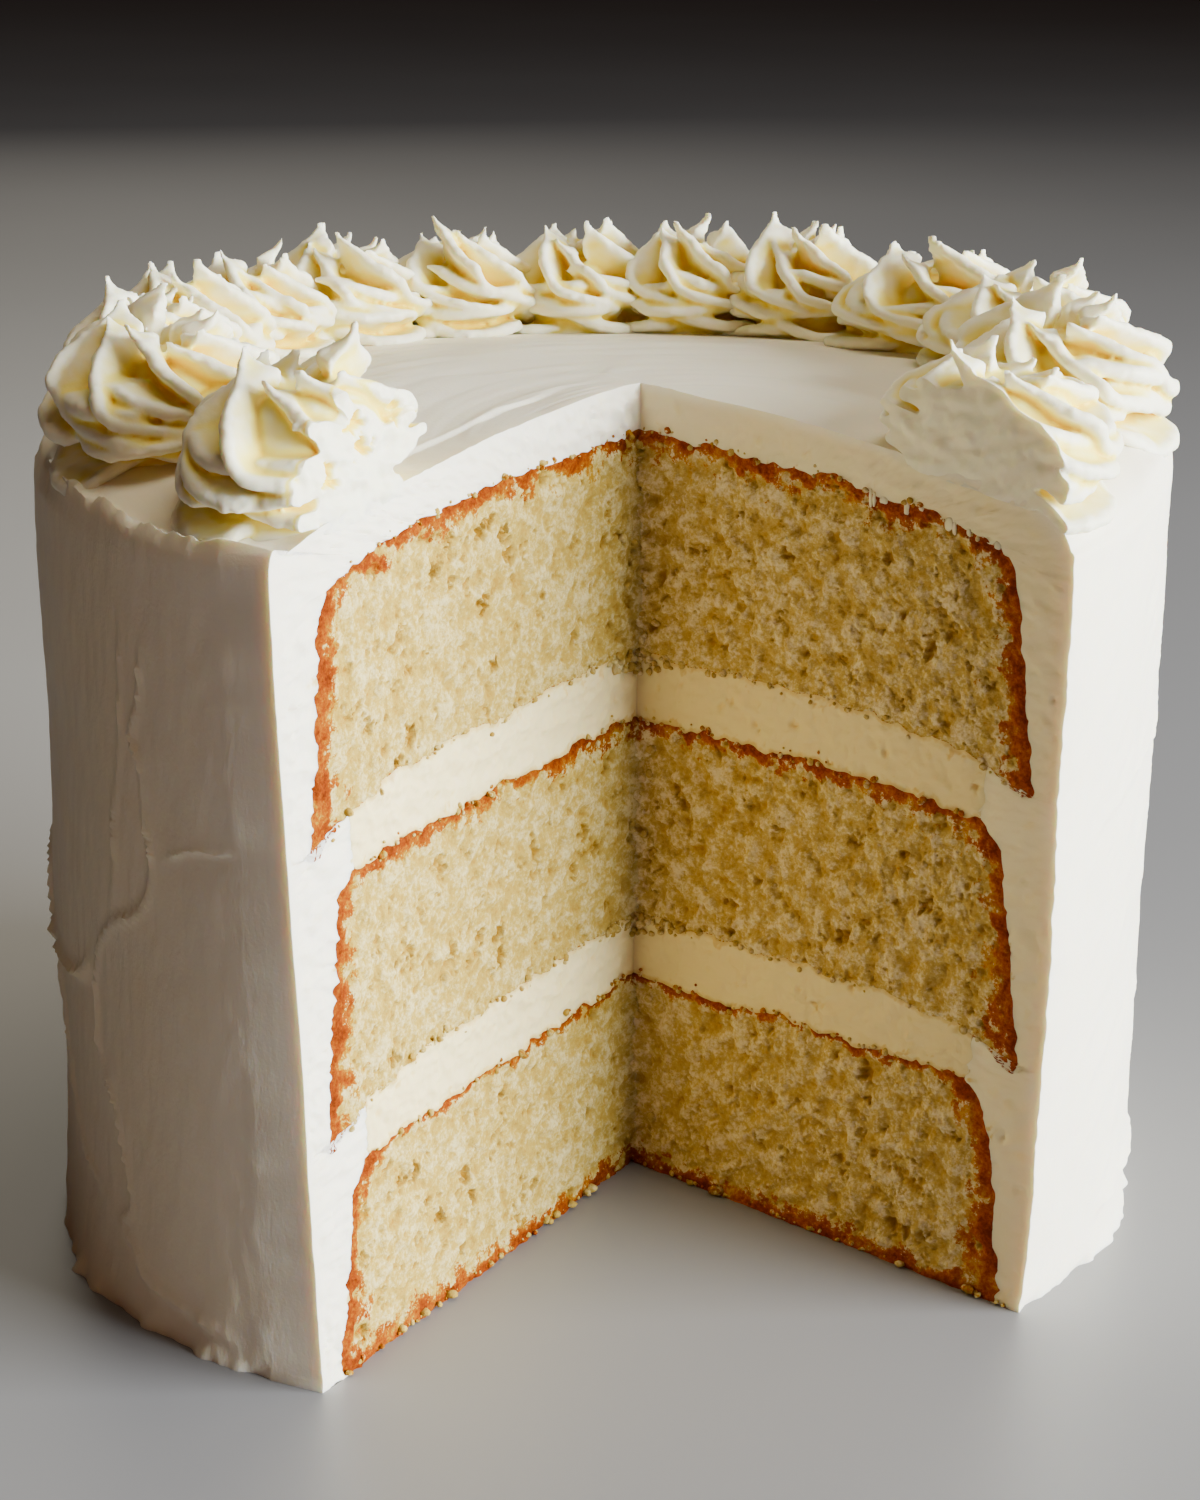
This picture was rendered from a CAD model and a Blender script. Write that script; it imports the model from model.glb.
"""Vanilla layer cake with a wedge taken out: sponges, buttercream fillings and coat, piped swirls."""

import logging
import math
from dataclasses import dataclass, field
from enum import Enum
from typing import Any, Callable, Sequence

import bmesh
import bpy
import numpy as np
from mathutils import Matrix, Vector


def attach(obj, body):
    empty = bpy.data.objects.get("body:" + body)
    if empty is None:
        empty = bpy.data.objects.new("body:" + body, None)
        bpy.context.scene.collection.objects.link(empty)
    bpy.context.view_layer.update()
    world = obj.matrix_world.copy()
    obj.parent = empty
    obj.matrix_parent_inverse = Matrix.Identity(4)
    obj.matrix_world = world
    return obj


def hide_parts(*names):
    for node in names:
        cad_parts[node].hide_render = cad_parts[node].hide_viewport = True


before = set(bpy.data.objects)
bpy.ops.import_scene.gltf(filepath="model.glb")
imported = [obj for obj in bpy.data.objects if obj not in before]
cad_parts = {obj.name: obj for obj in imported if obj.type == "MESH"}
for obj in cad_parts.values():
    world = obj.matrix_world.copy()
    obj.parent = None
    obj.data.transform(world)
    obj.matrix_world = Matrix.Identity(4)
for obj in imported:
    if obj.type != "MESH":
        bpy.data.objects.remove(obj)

LOG = logging.getLogger("layer_cake")
MM = 0.001
WHITE = (1.0, 1.0, 1.0)
GROUP = 8  # fine steps that one coarse step at the back spans
Array = np.ndarray
Pair = tuple[float, float]
Triple = tuple[float, float, float]
Curve = Sequence[Pair]
Painted = dict[str, Array]
Mesh, Socket, Thing = bpy.types.Mesh, bpy.types.NodeSocket, bpy.types.Object
Relief = Callable[["Cut", Array, Array], tuple[Array, Painted]]
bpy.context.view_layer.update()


class Cut(Enum):
    """The two faces that the knife left."""

    LEFT = 0.0
    RIGHT = 1.0


class Cream(Enum):
    """Where a stretch of buttercream lies."""

    COAT = "buttercream_coat"
    FILLING = "buttercream_filling"
    PIPED = "buttercream_piped"


# ---------------------------------------------------------------- numbers and fields


def bell(angle: Array, middle: float, spread: float) -> Array:
    """A smooth bump of height 1 at one direction, in degrees."""
    turn = (angle - middle + 180.0) % 360.0 - 180.0
    return np.exp(-((turn / spread) ** 2))


def ramp(value: Array, low: float, high: float) -> Array:
    """A smooth rise from 0 at low to 1 at high."""
    share = np.clip((value - low) / (high - low), 0.0, 1.0)
    return share * share * (3.0 - 2.0 * share)


def azimuth_of(x: Array, y: Array) -> Array:
    """Direction of a place on the table, in degrees from the front."""
    return np.degrees(np.arctan2(x, -y))


def intervals(length: float, pitch: float) -> int:
    """How many steps of about one pitch a length has, in whole groups."""
    return GROUP * round(length / pitch / GROUP)


def smooth_curve(points: Curve, pitch: float = 0.25) -> Array:
    """Catmull-Rom curve through a few points, at an even pitch.

    Args:
        points: the points that the curve passes, in order.
        pitch: distance between the samples, in the points' own unit.

    Returns:
        An array of samples, one row each.
    """
    knots = np.asarray(points, float)
    padded = np.vstack([2 * knots[0] - knots[1], knots, 2 * knots[-1] - knots[-2]])
    share = np.linspace(0.0, 1.0, 24, endpoint=False)[:, None]
    rows = []
    for a, b, c, d in zip(padded, padded[1:], padded[2:], padded[3:]):
        part = 2 * b + (c - a) * share + (2 * a - 5 * b + 4 * c - d) * share**2
        rows.append(0.5 * (part + (3 * b - a - 3 * c + d) * share**3))
    rows.append(knots[-1:])
    return evenly(np.vstack(rows), pitch=pitch)


def evenly(curve: Array, count: int = 0, pitch: float = 1.0) -> Array:
    """Samples of a polyline at equal distances along it.

    Args:
        curve: the polyline, one row for each point.
        count: number of intervals, or 0 to take them from the pitch.
        pitch: distance between samples where count is 0.

    Returns:
        The samples, both ends included.
    """
    steps = np.linalg.norm(np.diff(curve, axis=0), axis=1)
    along = np.concatenate([[0.0], np.cumsum(steps)])
    count = count or max(2, round(along[-1] / pitch))
    wanted = np.linspace(0.0, along[-1], count + 1)
    return np.stack([np.interp(wanted, along, curve[:, k]) for k in range(curve.shape[1])], axis=1)


@dataclass(frozen=True)
class Noise:
    """A smooth random field in space, the same on every run."""

    seed: int

    def corner(self, x: Array, y: Array, z: Array) -> Array:
        """Random numbers from -1 to 1 at whole-number places.

        Args:
            x: whole numbers along the first direction.
            y: whole numbers along the second direction.
            z: whole numbers along the third direction.

        Returns:
            One number for each place.
        """
        mixed = x.astype(np.int64) * 374761393 + y.astype(np.int64) * 668265263
        mixed = (mixed + z.astype(np.int64) * 2246822519 + self.seed * 3266489917) & 0xFFFFFFFF
        mixed = ((mixed ^ (mixed >> 13)) * 1274126177) & 0xFFFFFFFF
        mixed = mixed ^ (mixed >> 16)
        return mixed / 2147483647.5 - 1.0

    def at(self, points: Array, size: float | Triple) -> Array:
        """The field at some points.

        Args:
            points: positions, one row each, in millimetres.
            size: size of the bumps, one number or one for each direction.

        Returns:
            A number from about -1 to 1 for each point.
        """
        scaled = points / np.asarray(size, float)
        base = np.floor(scaled)
        rest = scaled - base
        weight = rest * rest * (3 - 2 * rest)
        total = np.zeros(len(points))
        for corner in range(8):
            step = np.array([corner & 1, corner >> 1 & 1, corner >> 2])
            share = np.prod(np.where(step == 1, weight, 1 - weight), axis=1)
            total += share * self.corner(*(base + step).T)
        return total


class ReliefMap:
    """Heights over one cut face, read by distance from the apex and by level."""

    PITCH = 0.16
    WIDTH = 96.0

    def __init__(self, low: float, high: float, seed: int) -> None:
        """Make an empty map.

        Args:
            low: lowest level that it covers.
            high: highest level that it covers.
            seed: seed of its random numbers.
        """
        self.low = low
        self.dice = np.random.default_rng(seed)
        self.shape = (int((high - low) / self.PITCH) + 2, int(self.WIDTH / self.PITCH) + 2)
        self.across = np.arange(self.shape[1]) * self.PITCH
        self.up = np.arange(self.shape[0]) * self.PITCH + low
        self.values = np.zeros(self.shape)

    def waves(self, wide: float, tall: float) -> Array:
        """Soft random waves of one size.

        Args:
            wide: their size along the face.
            tall: their size upwards.

        Returns:
            A map of numbers with a spread of 1.
        """
        grain = self.dice.standard_normal(self.shape)
        up = np.fft.fftfreq(self.shape[0], self.PITCH)[:, None] * tall
        across = np.fft.rfftfreq(self.shape[1], self.PITCH)[None, :] * wide
        radius = np.sqrt(up**2 + across**2)
        band = np.exp(-((radius - 0.8) ** 2) / 0.18)
        made = np.fft.irfft2(np.fft.rfft2(grain) * band, self.shape)
        return made / made.std()

    def rolling(self, *waves: Triple) -> Array:
        """The sum of soft waves, each given by its height, size along the face and size upwards."""
        return sum(height * self.waves(wide, tall) for height, wide, tall in waves)

    def grains(self, size: float) -> Array:
        """Rounded crumbs packed side by side.

        Args:
            size: distance between neighbouring crumbs.

        Returns:
            A map from 0 in the gaps to about 1 on the largest crumbs.
        """
        rows, columns = (int(count * self.PITCH / size) + 4 for count in self.shape)
        shift = self.dice.uniform(0.05, 0.95, (2, rows, columns))
        bulk = self.dice.uniform(0.45, 1.0, (rows, columns))
        y, x = np.indices(self.shape) * self.PITCH / size
        row, column = np.floor(y).astype(int), np.floor(x).astype(int)
        best = np.zeros(self.shape)
        for down in range(3):
            for side in range(3):
                r, c = row + down, column + side
                far = (r - 1 + shift[0][r, c] - y) ** 2 + (c - 1 + shift[1][r, c] - x) ** 2
                best = np.maximum(best, bulk[r, c] * np.sqrt(np.clip(1 - far / 0.62, 0, 1)))
        return best

    def torn(self, chart: Array, reach: float, size: float) -> Array:
        """Pull a map about so that its round shapes turn ragged.

        Args:
            chart: the map.
            reach: how far places are pulled.
            size: size of the pulls.

        Returns:
            The ragged map.
        """
        pull_x, pull_y = reach * self.waves(size, size), reach * self.waves(size, size)
        x = np.broadcast_to(self.across[None], self.shape) + pull_x
        y = np.broadcast_to(self.up[:, None], self.shape) + pull_y
        return self.read(x, y, chart)

    def pores(self, count: int, small: float, large: float, stretch: float, depth: float) -> Array:
        """Open bubbles cut through by the knife.

        Args:
            count: how many.
            small: radius of the smallest.
            large: radius of the largest.
            stretch: how much taller than wide they may be.
            depth: depth as a share of the radius.

        Returns:
            A map of depths, 0 where there is no bubble.
        """
        made = np.zeros(self.shape)
        for _ in range(count):
            wide = small * (large / small) ** (self.dice.random() ** 1.7)
            tall = wide * self.dice.uniform(0.8, stretch)
            x = self.dice.uniform(0, self.WIDTH) / self.PITCH
            y = self.dice.uniform(0, self.shape[0])
            rx, ry = wide / self.PITCH, tall / self.PITCH
            x0, x1 = max(0, int(x - rx)), min(self.shape[1], int(x + rx) + 2)
            y0, y1 = max(0, int(y - ry)), min(self.shape[0], int(y + ry) + 2)
            if x1 <= x0 or y1 <= y0:
                continue
            far = ((np.arange(x0, x1) - x) / rx) ** 2 + (((np.arange(y0, y1) - y) / ry) ** 2)[:, None]
            hollow = depth * wide * np.sqrt(np.clip(1 - far, 0, 1))
            made[y0:y1, x0:x1] = np.maximum(made[y0:y1, x0:x1], hollow)
        return made

    def read(self, across: Array, up: Array, values: Array | None = None) -> Array:
        """Heights at places on the face.

        Args:
            across: distances from the apex.
            up: levels.
            values: another map of the same shape, or None for this one.

        Returns:
            One height for each place.
        """
        chart = self.values if values is None else values
        x = np.clip(across / self.PITCH, 0, self.shape[1] - 1.001)
        y = np.clip((up - self.low) / self.PITCH, 0, self.shape[0] - 1.001)
        i, j = y.astype(int), x.astype(int)
        a, b = y - i, x - j
        lower = chart[i, j] * (1 - b) + chart[i, j + 1] * b
        upper = chart[i + 1, j] * (1 - b) + chart[i + 1, j + 1] * b
        return lower * (1 - a) + upper * a


# ---------------------------------------------------------------- the shape of the whole cake


@dataclass(frozen=True)
class CakeForm:
    """Sizes of the cake in millimetres and degrees, and the way it has settled out of true."""

    radius: float = 82.0
    height: float = 124.0
    apex: Pair = (5.1, -5.6)
    left_foot: float = -31.0
    left_lean: float = -3.7
    right: float = 49.4 - 360.0
    sponge_foot: float = 77.6
    sponge_waist: float = 75.4
    sponge_head: float = 73.2
    sponge_crown: float = 69.4
    bottom_top: float = 31.2
    middle_floor: float = 41.8
    middle_top: float = 73.4
    top_floor: float = 83.6
    top_top: float = 116.8
    droop: float = 7.0
    shoulder: float = 4.4
    middle_fall: float = 1.6
    top_fall: float = 3.8
    filling_radius: float = 70.0
    rim_height: float = 119.4
    ragged: Noise = Noise(11)
    lean_heights: tuple[float, ...] = (0.0, 31.0, 42.0, 73.0, 84.0, 125.0)
    lean_amounts: tuple[float, ...] = (0.0, 3.4, 2.0, 1.6, 1.0, 0.6)

    def bulge(self, angle: Array, z: Array) -> Array:
        """How far the side of the cake stands out at a direction and a height."""
        foot = np.maximum(z, 0.0)
        out = 2.0 * bell(angle, -40, 34) + 2.6 * bell(angle, -58, 17) * np.exp(-foot / 10.0)
        out = out - 1.1 * bell(angle, 46, 20) - 1.5 * bell(angle, 46, 14) * np.exp(-foot / 14.0)
        out = out - 0.7 * bell(angle, -104, 24)
        return out + 0.4 * np.sin(np.radians(3 * angle + 60)) * (1 - bell(angle, 0, 110))

    def rise(self, angle: Array, radius: Array, x: Array, z: Array) -> Array:
        """Final height of a point of the even cake.

        Args:
            angle: its direction.
            radius: its radius in the even cake.
            x: its place to the right in the even cake.
            z: its height in the even cake.

        Returns:
            Its height in the cake as it settled.
        """
        rim = -5.4 * bell(angle, -36, 25) - 4.6 * bell(angle, 46, 25) + 1.2 * bell(angle, -86, 22)
        rim = rim + 1.6 * bell(angle, 98, 26) - 3.4 * bell(angle, 180, 52)
        lift = rim * (radius / self.radius) ** 2 * (np.maximum(z, 0.0) / self.height) ** 2
        return z + lift + np.interp(z, self.lean_heights, self.lean_amounts) * x / 80.0

    def settled(self, points: Array) -> Array:
        """Move points of the even cake to where they lie in the settled one."""
        x, y, z = points.T
        radius, angle = np.hypot(x, y), azimuth_of(x, y)
        out = self.bulge(angle, z) * (radius / self.radius) ** 2
        scale = 1.0 + out / np.maximum(radius, 1.0)
        return np.stack([x * scale, y * scale, self.rise(angle, radius, x, z)], axis=1)

    def left(self, z: Array | float) -> Array | float:
        """Direction of the left cut at a height, in degrees."""
        return self.left_foot + self.left_lean * z / self.height

    def direction(self, turn: Array, z: Array) -> tuple[Array, Array]:
        """Unit direction of an upright plane through the apex line.

        Args:
            turn: 0 at the left cut, 1 at the right cut, the long way round.
            z: height, because the left cut leans.

        Returns:
            Its two parts in the plane of the table.
        """
        angle = np.radians(self.left(z) * (1 - turn) + self.right * turn)
        return np.sin(angle), -np.cos(angle)

    def reached(self, turn: Array, along: Array, z: Array) -> tuple[Array, Array]:
        """Where points lie over the table, by their plane, distance from the apex line and height."""
        dx, dy = self.direction(turn, z)
        return self.apex[0] + along * dx, self.apex[1] + along * dy

    def place(self, turn: Array, along: Array, z: Array) -> Array:
        """Points by their plane, distance from the apex line and height."""
        return np.stack([*self.reached(turn, along, z), z], axis=-1)

    def spread(self, turns: Array, lines: Array) -> Array:
        """Points of (distance, height) lines, one line on each plane."""
        return self.place(turns[:, None] + 0 * lines[..., 0], lines[..., 0], lines[..., 1])

    def turn_of(self, azimuth: Array, z: float = 60.0) -> Array:
        """The plane through the apex line that meets the side of the cake at an azimuth."""
        turn = np.radians(azimuth)
        x = self.radius * np.sin(turn) - self.apex[0]
        y = -self.radius * np.cos(turn) - self.apex[1]
        angle, left = azimuth_of(x, y), self.left(z)
        angle = np.where(angle > left + 0.01, angle - 360.0, angle)
        return np.clip((left - angle) / (left - self.right), 0.0, 1.0)

    def on_side(self, turn: Array, radius: Array, z: Array) -> tuple[Array, Array]:
        """Where a circle of the even cake meets an upright plane through the apex line.

        Args:
            turn: the plane.
            radius: radius of the circle.
            z: its height in the even cake.

        Returns:
            Distance from the apex line, and final height.
        """
        turn, radius, z = np.broadcast_arrays(turn, radius, z)
        ax, ay = self.apex
        along, level = radius.astype(float), z.astype(float)
        for _ in range(7):
            dx, dy = self.direction(turn, level)
            x, y = ax + along * dx, ay + along * dy
            angle = azimuth_of(x, y)
            real = radius + self.bulge(angle, z) * (radius / self.radius) ** 2
            level = self.rise(angle, radius, x * radius / np.maximum(real, 1.0), z)
            b = ax * dx + ay * dy
            along = -b + np.sqrt(np.maximum(b * b - ax * ax - ay * ay + real * real, 0.0))
        return along, level

    def on_flat(self, turn: Array, along: Array, surface: Array) -> Array:
        """Final height of a turned surface over places on upright planes.

        Args:
            turn: the planes.
            along: distances from the apex line.
            surface: (radius, height) samples of the surface in the even cake.

        Returns:
            One height for each place.
        """
        turn, along = np.broadcast_arrays(turn, along)
        level = np.full(along.shape, surface[0, 1])
        z = level
        for _ in range(4):
            x, y = self.reached(turn, along, level)
            angle, real = azimuth_of(x, y), np.hypot(x, y)
            pull = self.bulge(angle, z) / self.radius**2
            radius = 2 * real / (1 + np.sqrt(np.maximum(1 + 4 * pull * real, 0.01)))
            z = np.interp(radius, surface[:, 0], surface[:, 1])
            level = self.rise(angle, radius, x * radius / np.maximum(real, 1.0), z)
        return level

    def roughen(self, turn: Array, along: Array, z: Array) -> tuple[Array, Array]:
        """The uneven line along which two parts meet, the same for both of them.

        Args:
            turn: planes of the points.
            along: distances from the apex line.
            z: heights.

        Returns:
            The distances and the heights after the unevenness.
        """
        spots = self.place(turn, along, z).reshape(-1, 3)
        fade = np.clip(along / 6.0, 0.0, 1.0)
        off = np.clip(z / 3.0, 0.0, 1.0)
        coarse, fine = (5.0, 5.0, 5.0), (1.5, 1.5, 1.5)
        side = 0.36 * self.ragged.at(spots, coarse) + 0.50 * self.ragged.at(spots + 71.0, fine)
        lift = 0.60 * self.ragged.at(spots + 33.0, coarse) + 0.62 * self.ragged.at(spots + 9.0, fine)
        return along + fade * side.reshape(along.shape), z + off * lift.reshape(z.shape)

    def sponge_side(self, floor: float, top: float) -> list[Pair]:
        """Outer side of a sponge layer from its rounded upper corner down to its lower edge."""
        return [
            (self.sponge_crown, top - 1.9),
            (self.sponge_head - 1.2, top - self.shoulder + 0.6),
            (self.sponge_head + 0.4, top - self.shoulder - 3.0),
            (self.sponge_waist, top - 0.55 * (top - floor)),
            (self.sponge_foot, floor + 1.6),
        ]


FORM = CakeForm()
PER_DEGREE = 1.43  # millimetres along the side of the cake for each degree


@dataclass(frozen=True)
class Outline:
    """Upper, outer and lower boundary of a turned part, (radius, height) rows from the middle out."""

    top: Array
    side: Array
    bottom: Array

    @staticmethod
    def bottom_sponge() -> "Outline":
        """The lowest sponge, flat underneath."""
        form = FORM
        side = form.sponge_side(0.0, form.bottom_top + 1.6)
        top = smooth_curve([(0.0, form.bottom_top + 0.4), (40.0, form.bottom_top + 0.3), side[0]])
        corner = (form.sponge_foot - 1.1, 0.0)
        return Outline(top, smooth_curve([*side, corner]), np.array([(0.0, 0.0), corner]))

    @staticmethod
    def raised_sponge(floor: float, top: float, fall: float) -> "Outline":
        """A sponge that lies on a filling.

        Args:
            floor: height of its underside in the middle.
            top: height of its top in the middle.
            fall: how much lower its top is at the shoulder.

        Returns:
            Its outline, whose lower corner hangs over the filling.
        """
        form = FORM
        foot = floor - form.droop
        side = form.sponge_side(foot, top - fall + 1.9)
        upper = [(0.0, top), (35.0, top - 0.16 * fall), (56.0, top - 0.55 * fall), side[0]]
        corner = (form.sponge_foot - 1.5, foot)
        return Outline(smooth_curve(upper), smooth_curve([*side, corner]), underside(floor, corner))

    @staticmethod
    def sponges() -> tuple["Outline", "Outline", "Outline"]:
        """The three sponges from the lowest up."""
        middle = Outline.raised_sponge(FORM.middle_floor, FORM.middle_top, FORM.middle_fall)
        top = Outline.raised_sponge(FORM.top_floor, FORM.top_top, FORM.top_fall)
        return Outline.bottom_sponge(), middle, top

    @staticmethod
    def filling(below: "Outline", above: "Outline") -> "Outline":
        """The buttercream between two sponges."""
        reach = FORM.filling_radius
        top = above.bottom[above.bottom[:, 0] <= reach]
        bottom = below.top[below.top[:, 0] <= reach - 0.7]
        side = np.array([top[-1], (reach, top[-1, 1] - 1.0), (reach, bottom[-1, 1] + 1.0), bottom[-1]])
        return Outline(top, evenly(side, pitch=0.3), bottom)


def nearness(sheet: Array, line: Array) -> Array:
    """Distance of every point of a grid from a line.

    Args:
        sheet: the grid of points.
        line: points along the line.

    Returns:
        One distance for each point of the grid.
    """
    line = line[::2]
    away = [np.linalg.norm(row[:, None] - line[None], axis=-1).min(axis=1) for row in sheet]
    return np.stack(away)


def underside(floor: float, corner: Pair) -> Array:
    """Underside of a raised sponge from the middle out to its hanging corner."""
    droop = FORM.droop
    inner = [(0.0, floor), (46.0, floor - 0.08 * droop), (64.0, floor - 0.28 * droop)]
    return smooth_curve([*inner, (FORM.filling_radius + 2.4, floor - 0.66 * droop), corner])


# ---------------------------------------------------------------- meshes


@dataclass
class Solid:
    """Points, faces and painted values of one piece while it is being made, in millimetres."""

    points: list[Array] = field(default_factory=list)
    faces: list[Array] = field(default_factory=list)
    values: dict[str, list[Array]] = field(default_factory=dict)
    count: int = 0

    def add(self, points: Array, **values: Array) -> Array:
        """Add points.

        Args:
            points: any array whose last direction is x, y, z.
            **values: painted values for them, by name.

        Returns:
            Their numbers, in the shape of the array.
        """
        flat = points.reshape(-1, 3)
        numbers = np.arange(self.count, self.count + len(flat)).reshape(points.shape[:-1])
        self.points.append(flat)
        for name in set(self.values) | set(values):
            rows = self.values.setdefault(name, [np.zeros(self.count)] if self.count else [])
            given = values.get(name)
            rows.append(np.zeros(len(flat)) if given is None else np.asarray(given, float).reshape(-1))
        self.count += len(flat)
        return numbers

    def grid(self, numbers: Array, flip: bool = False) -> None:
        """Fill a rectangular grid of point numbers with faces."""
        upper, lower = numbers[:-1], numbers[1:]
        quads = np.stack([upper[:, :-1], lower[:, :-1], lower[:, 1:], upper[:, 1:]], axis=-1).reshape(-1, 4)
        self.faces.append(quads[:, ::-1] if flip else quads)

    def tube(self, points: Array, flip: bool = False, **values: Array) -> None:
        """Add a grid of points that closes on itself round each row, with its two ends capped.

        Args:
            points: the grid, one row for each ring.
            flip: turn the faces over.
            **values: painted values for the points, by name.
        """
        numbers = self.add(points, **values)
        self.grid(np.concatenate([numbers, numbers[:, :1]], axis=1), flip)
        first, last = fan_of(numbers[0]), fan_of(numbers[-1])
        self.faces += [first, last[:, ::-1]] if flip else [first[:, ::-1], last]

    def strip(self, fine: Array, coarse: Array, flip: bool = False) -> None:
        """Join a fine row of points to a coarse row with fans of triangles.

        Args:
            fine: numbers of the fine row.
            coarse: numbers of the coarse row, which spans the same stretch.
            flip: turn the faces over.
        """
        many, few = len(fine) - 1, len(coarse) - 1
        rows = []
        at = 0
        for k in range(many):
            wanted = min(few, int(round((k + 0.5) * few / many)))
            while at < wanted:
                rows.append((fine[k], coarse[at + 1], coarse[at]))
                at += 1
            rows.append((fine[k], fine[k + 1], coarse[at]))
        while at < few:
            rows.append((fine[many], coarse[at + 1], coarse[at]))
            at += 1
        made = np.array(rows)
        self.faces.append(made[:, ::-1] if flip else made)

    def lump(
        self, middle: Array, size: Triple, turn: float, seed: int, rows: int = 5, **values: float
    ) -> None:
        """Add a small uneven closed lump.

        Args:
            middle: its middle.
            size: half its width, depth and height.
            turn: how far it is turned about the upright axis, in degrees.
            seed: seed of its shape.
            rows: rows of points from its top to its bottom.
            **values: painted values, the same all over it.
        """
        down = np.linspace(0.4, math.pi - 0.4, rows)[:, None]
        around = np.linspace(0.0, 2 * math.pi, 8 + 2 * (rows - 5), endpoint=False)[None, :]
        shape = on_rings(np.sin(down), around, np.cos(down))
        bumps = Noise(seed).at(shape.reshape(-1, 3) + 5.0, 0.7).reshape(shape.shape[:2])
        shape = shape * (1 + 0.22 * bumps[..., None]) * np.array(size)
        c, s = math.cos(math.radians(turn)), math.sin(math.radians(turn))
        x, y = shape[..., 0], shape[..., 1]
        where = np.stack([c * x - s * y, s * x + c * y, shape[..., 2]], axis=-1)
        self.tube(where + middle, **{name: np.full(x.shape, value) for name, value in values.items()})

    def object(self, name: str, sharp: float = 40.0) -> Thing:
        """Make the Blender object.

        Args:
            name: name of the piece.
            sharp: edges that turn by more than this, in degrees, stay crisp.

        Returns:
            The object, linked to the scene, with its faces pointing out.
        """
        points = np.concatenate(self.points)
        faces = [row for block in self.faces for row in keep_whole(block)]
        mesh = mesh_of(name, points * MM, faces)
        for label, rows in self.values.items():
            layer = mesh.attributes.new(label, "FLOAT", "POINT")
            layer.data.foreach_set("value", np.concatenate(rows).astype(np.float32))
        work = bmesh.new()
        work.from_mesh(mesh)
        bmesh.ops.recalc_face_normals(work, faces=work.faces)
        if work.calc_volume(signed=True) < 0:
            bmesh.ops.reverse_faces(work, faces=work.faces)
        loose = [v for v in work.verts if not v.link_faces]
        bmesh.ops.delete(work, geom=loose, context="VERTS")
        work.to_mesh(mesh)
        work.free()
        return placed(name, mesh, sharp)


def fan_of(row: Array) -> Array:
    """Triangles that close a ring of points from its first one."""
    return np.stack([np.full(len(row) - 2, row[0]), row[1:-1], row[2:]], axis=1)


def on_rings(radius: Array, turn: Array, z: Array) -> Array:
    """Points round the upright axis by their radius, direction in radians and height."""
    x, y = radius * np.cos(turn), radius * np.sin(turn)
    return np.stack([x, y, z + 0 * x], axis=-1)


def keep_whole(block: Array) -> list[Array]:
    """Faces of a block whose corners are all different, as blocks of one size each."""
    if block.shape[1] == 3:
        return [block[(block != np.roll(block, -1, axis=1)).all(axis=1)]]
    same = block == np.roll(block, -1, axis=1)
    quads = block[~same.any(axis=1)]
    single = block[same.sum(axis=1) == 1]
    gone = same[same.sum(axis=1) == 1].argmax(axis=1)
    keep = np.array([[k for k in range(4) if k != g] for g in range(4)])[gone] if len(single) else []
    threes = np.take_along_axis(single, keep, axis=1) if len(single) else np.zeros((0, 3), int)
    return [quads, threes]


def mesh_of(name: str, points: Array, faces: list[Array]) -> Mesh:
    """A mesh from arrays.

    Args:
        name: name of the mesh.
        points: positions in metres.
        faces: blocks of corner numbers, each block with one number of corners.

    Returns:
        The mesh.
    """
    blocks = [block for block in faces if len(block)]
    mesh = bpy.data.meshes.new(name)
    mesh.vertices.add(len(points))
    mesh.vertices.foreach_set("co", points.astype(np.float32).ravel())
    sizes = np.concatenate([np.full(len(block), block.shape[1]) for block in blocks])
    corners = np.concatenate([block.ravel() for block in blocks])
    mesh.loops.add(len(corners))
    mesh.loops.foreach_set("vertex_index", corners.astype(np.int32))
    mesh.polygons.add(len(sizes))
    starts = np.concatenate([[0], np.cumsum(sizes)[:-1]])
    mesh.polygons.foreach_set("loop_start", starts.astype(np.int32))
    mesh.update(calc_edges=True)
    mesh.validate()
    return mesh


def placed(name: str, mesh: Mesh, sharp: float) -> Thing:
    """Shade a mesh smooth between its crisp edges and link it to the scene as an object."""
    mesh.polygons.foreach_set("use_smooth", np.ones(len(mesh.polygons), bool))
    mesh.set_sharp_from_angle(angle=math.radians(sharp))
    made = bpy.data.objects.new(name, mesh)
    bpy.context.scene.collection.objects.link(made)
    return made


def patch(top: Array, side: Array, bottom: Array, inner: Array) -> Array:
    """Fill four boundary curves with an even grid.

    Args:
        top: upper boundary from the apex out, (distance, height) rows.
        side: outer boundary from the top down.
        bottom: lower boundary from the apex out.
        inner: boundary on the apex line from the top down.

    Returns:
        A grid of (distance, height), rows from top to bottom.
    """
    u = np.linspace(0, 1, len(top))[None, :, None]
    v = np.linspace(0, 1, len(side))[:, None, None]
    ruled = (1 - v) * top[None] + v * bottom[None] + (1 - u) * inner[:, None] + u * side[:, None]
    above = (1 - u) * (1 - v) * top[0] + u * (1 - v) * top[-1]
    return ruled - (above + (1 - u) * v * bottom[0] + u * v * bottom[-1])


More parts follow.
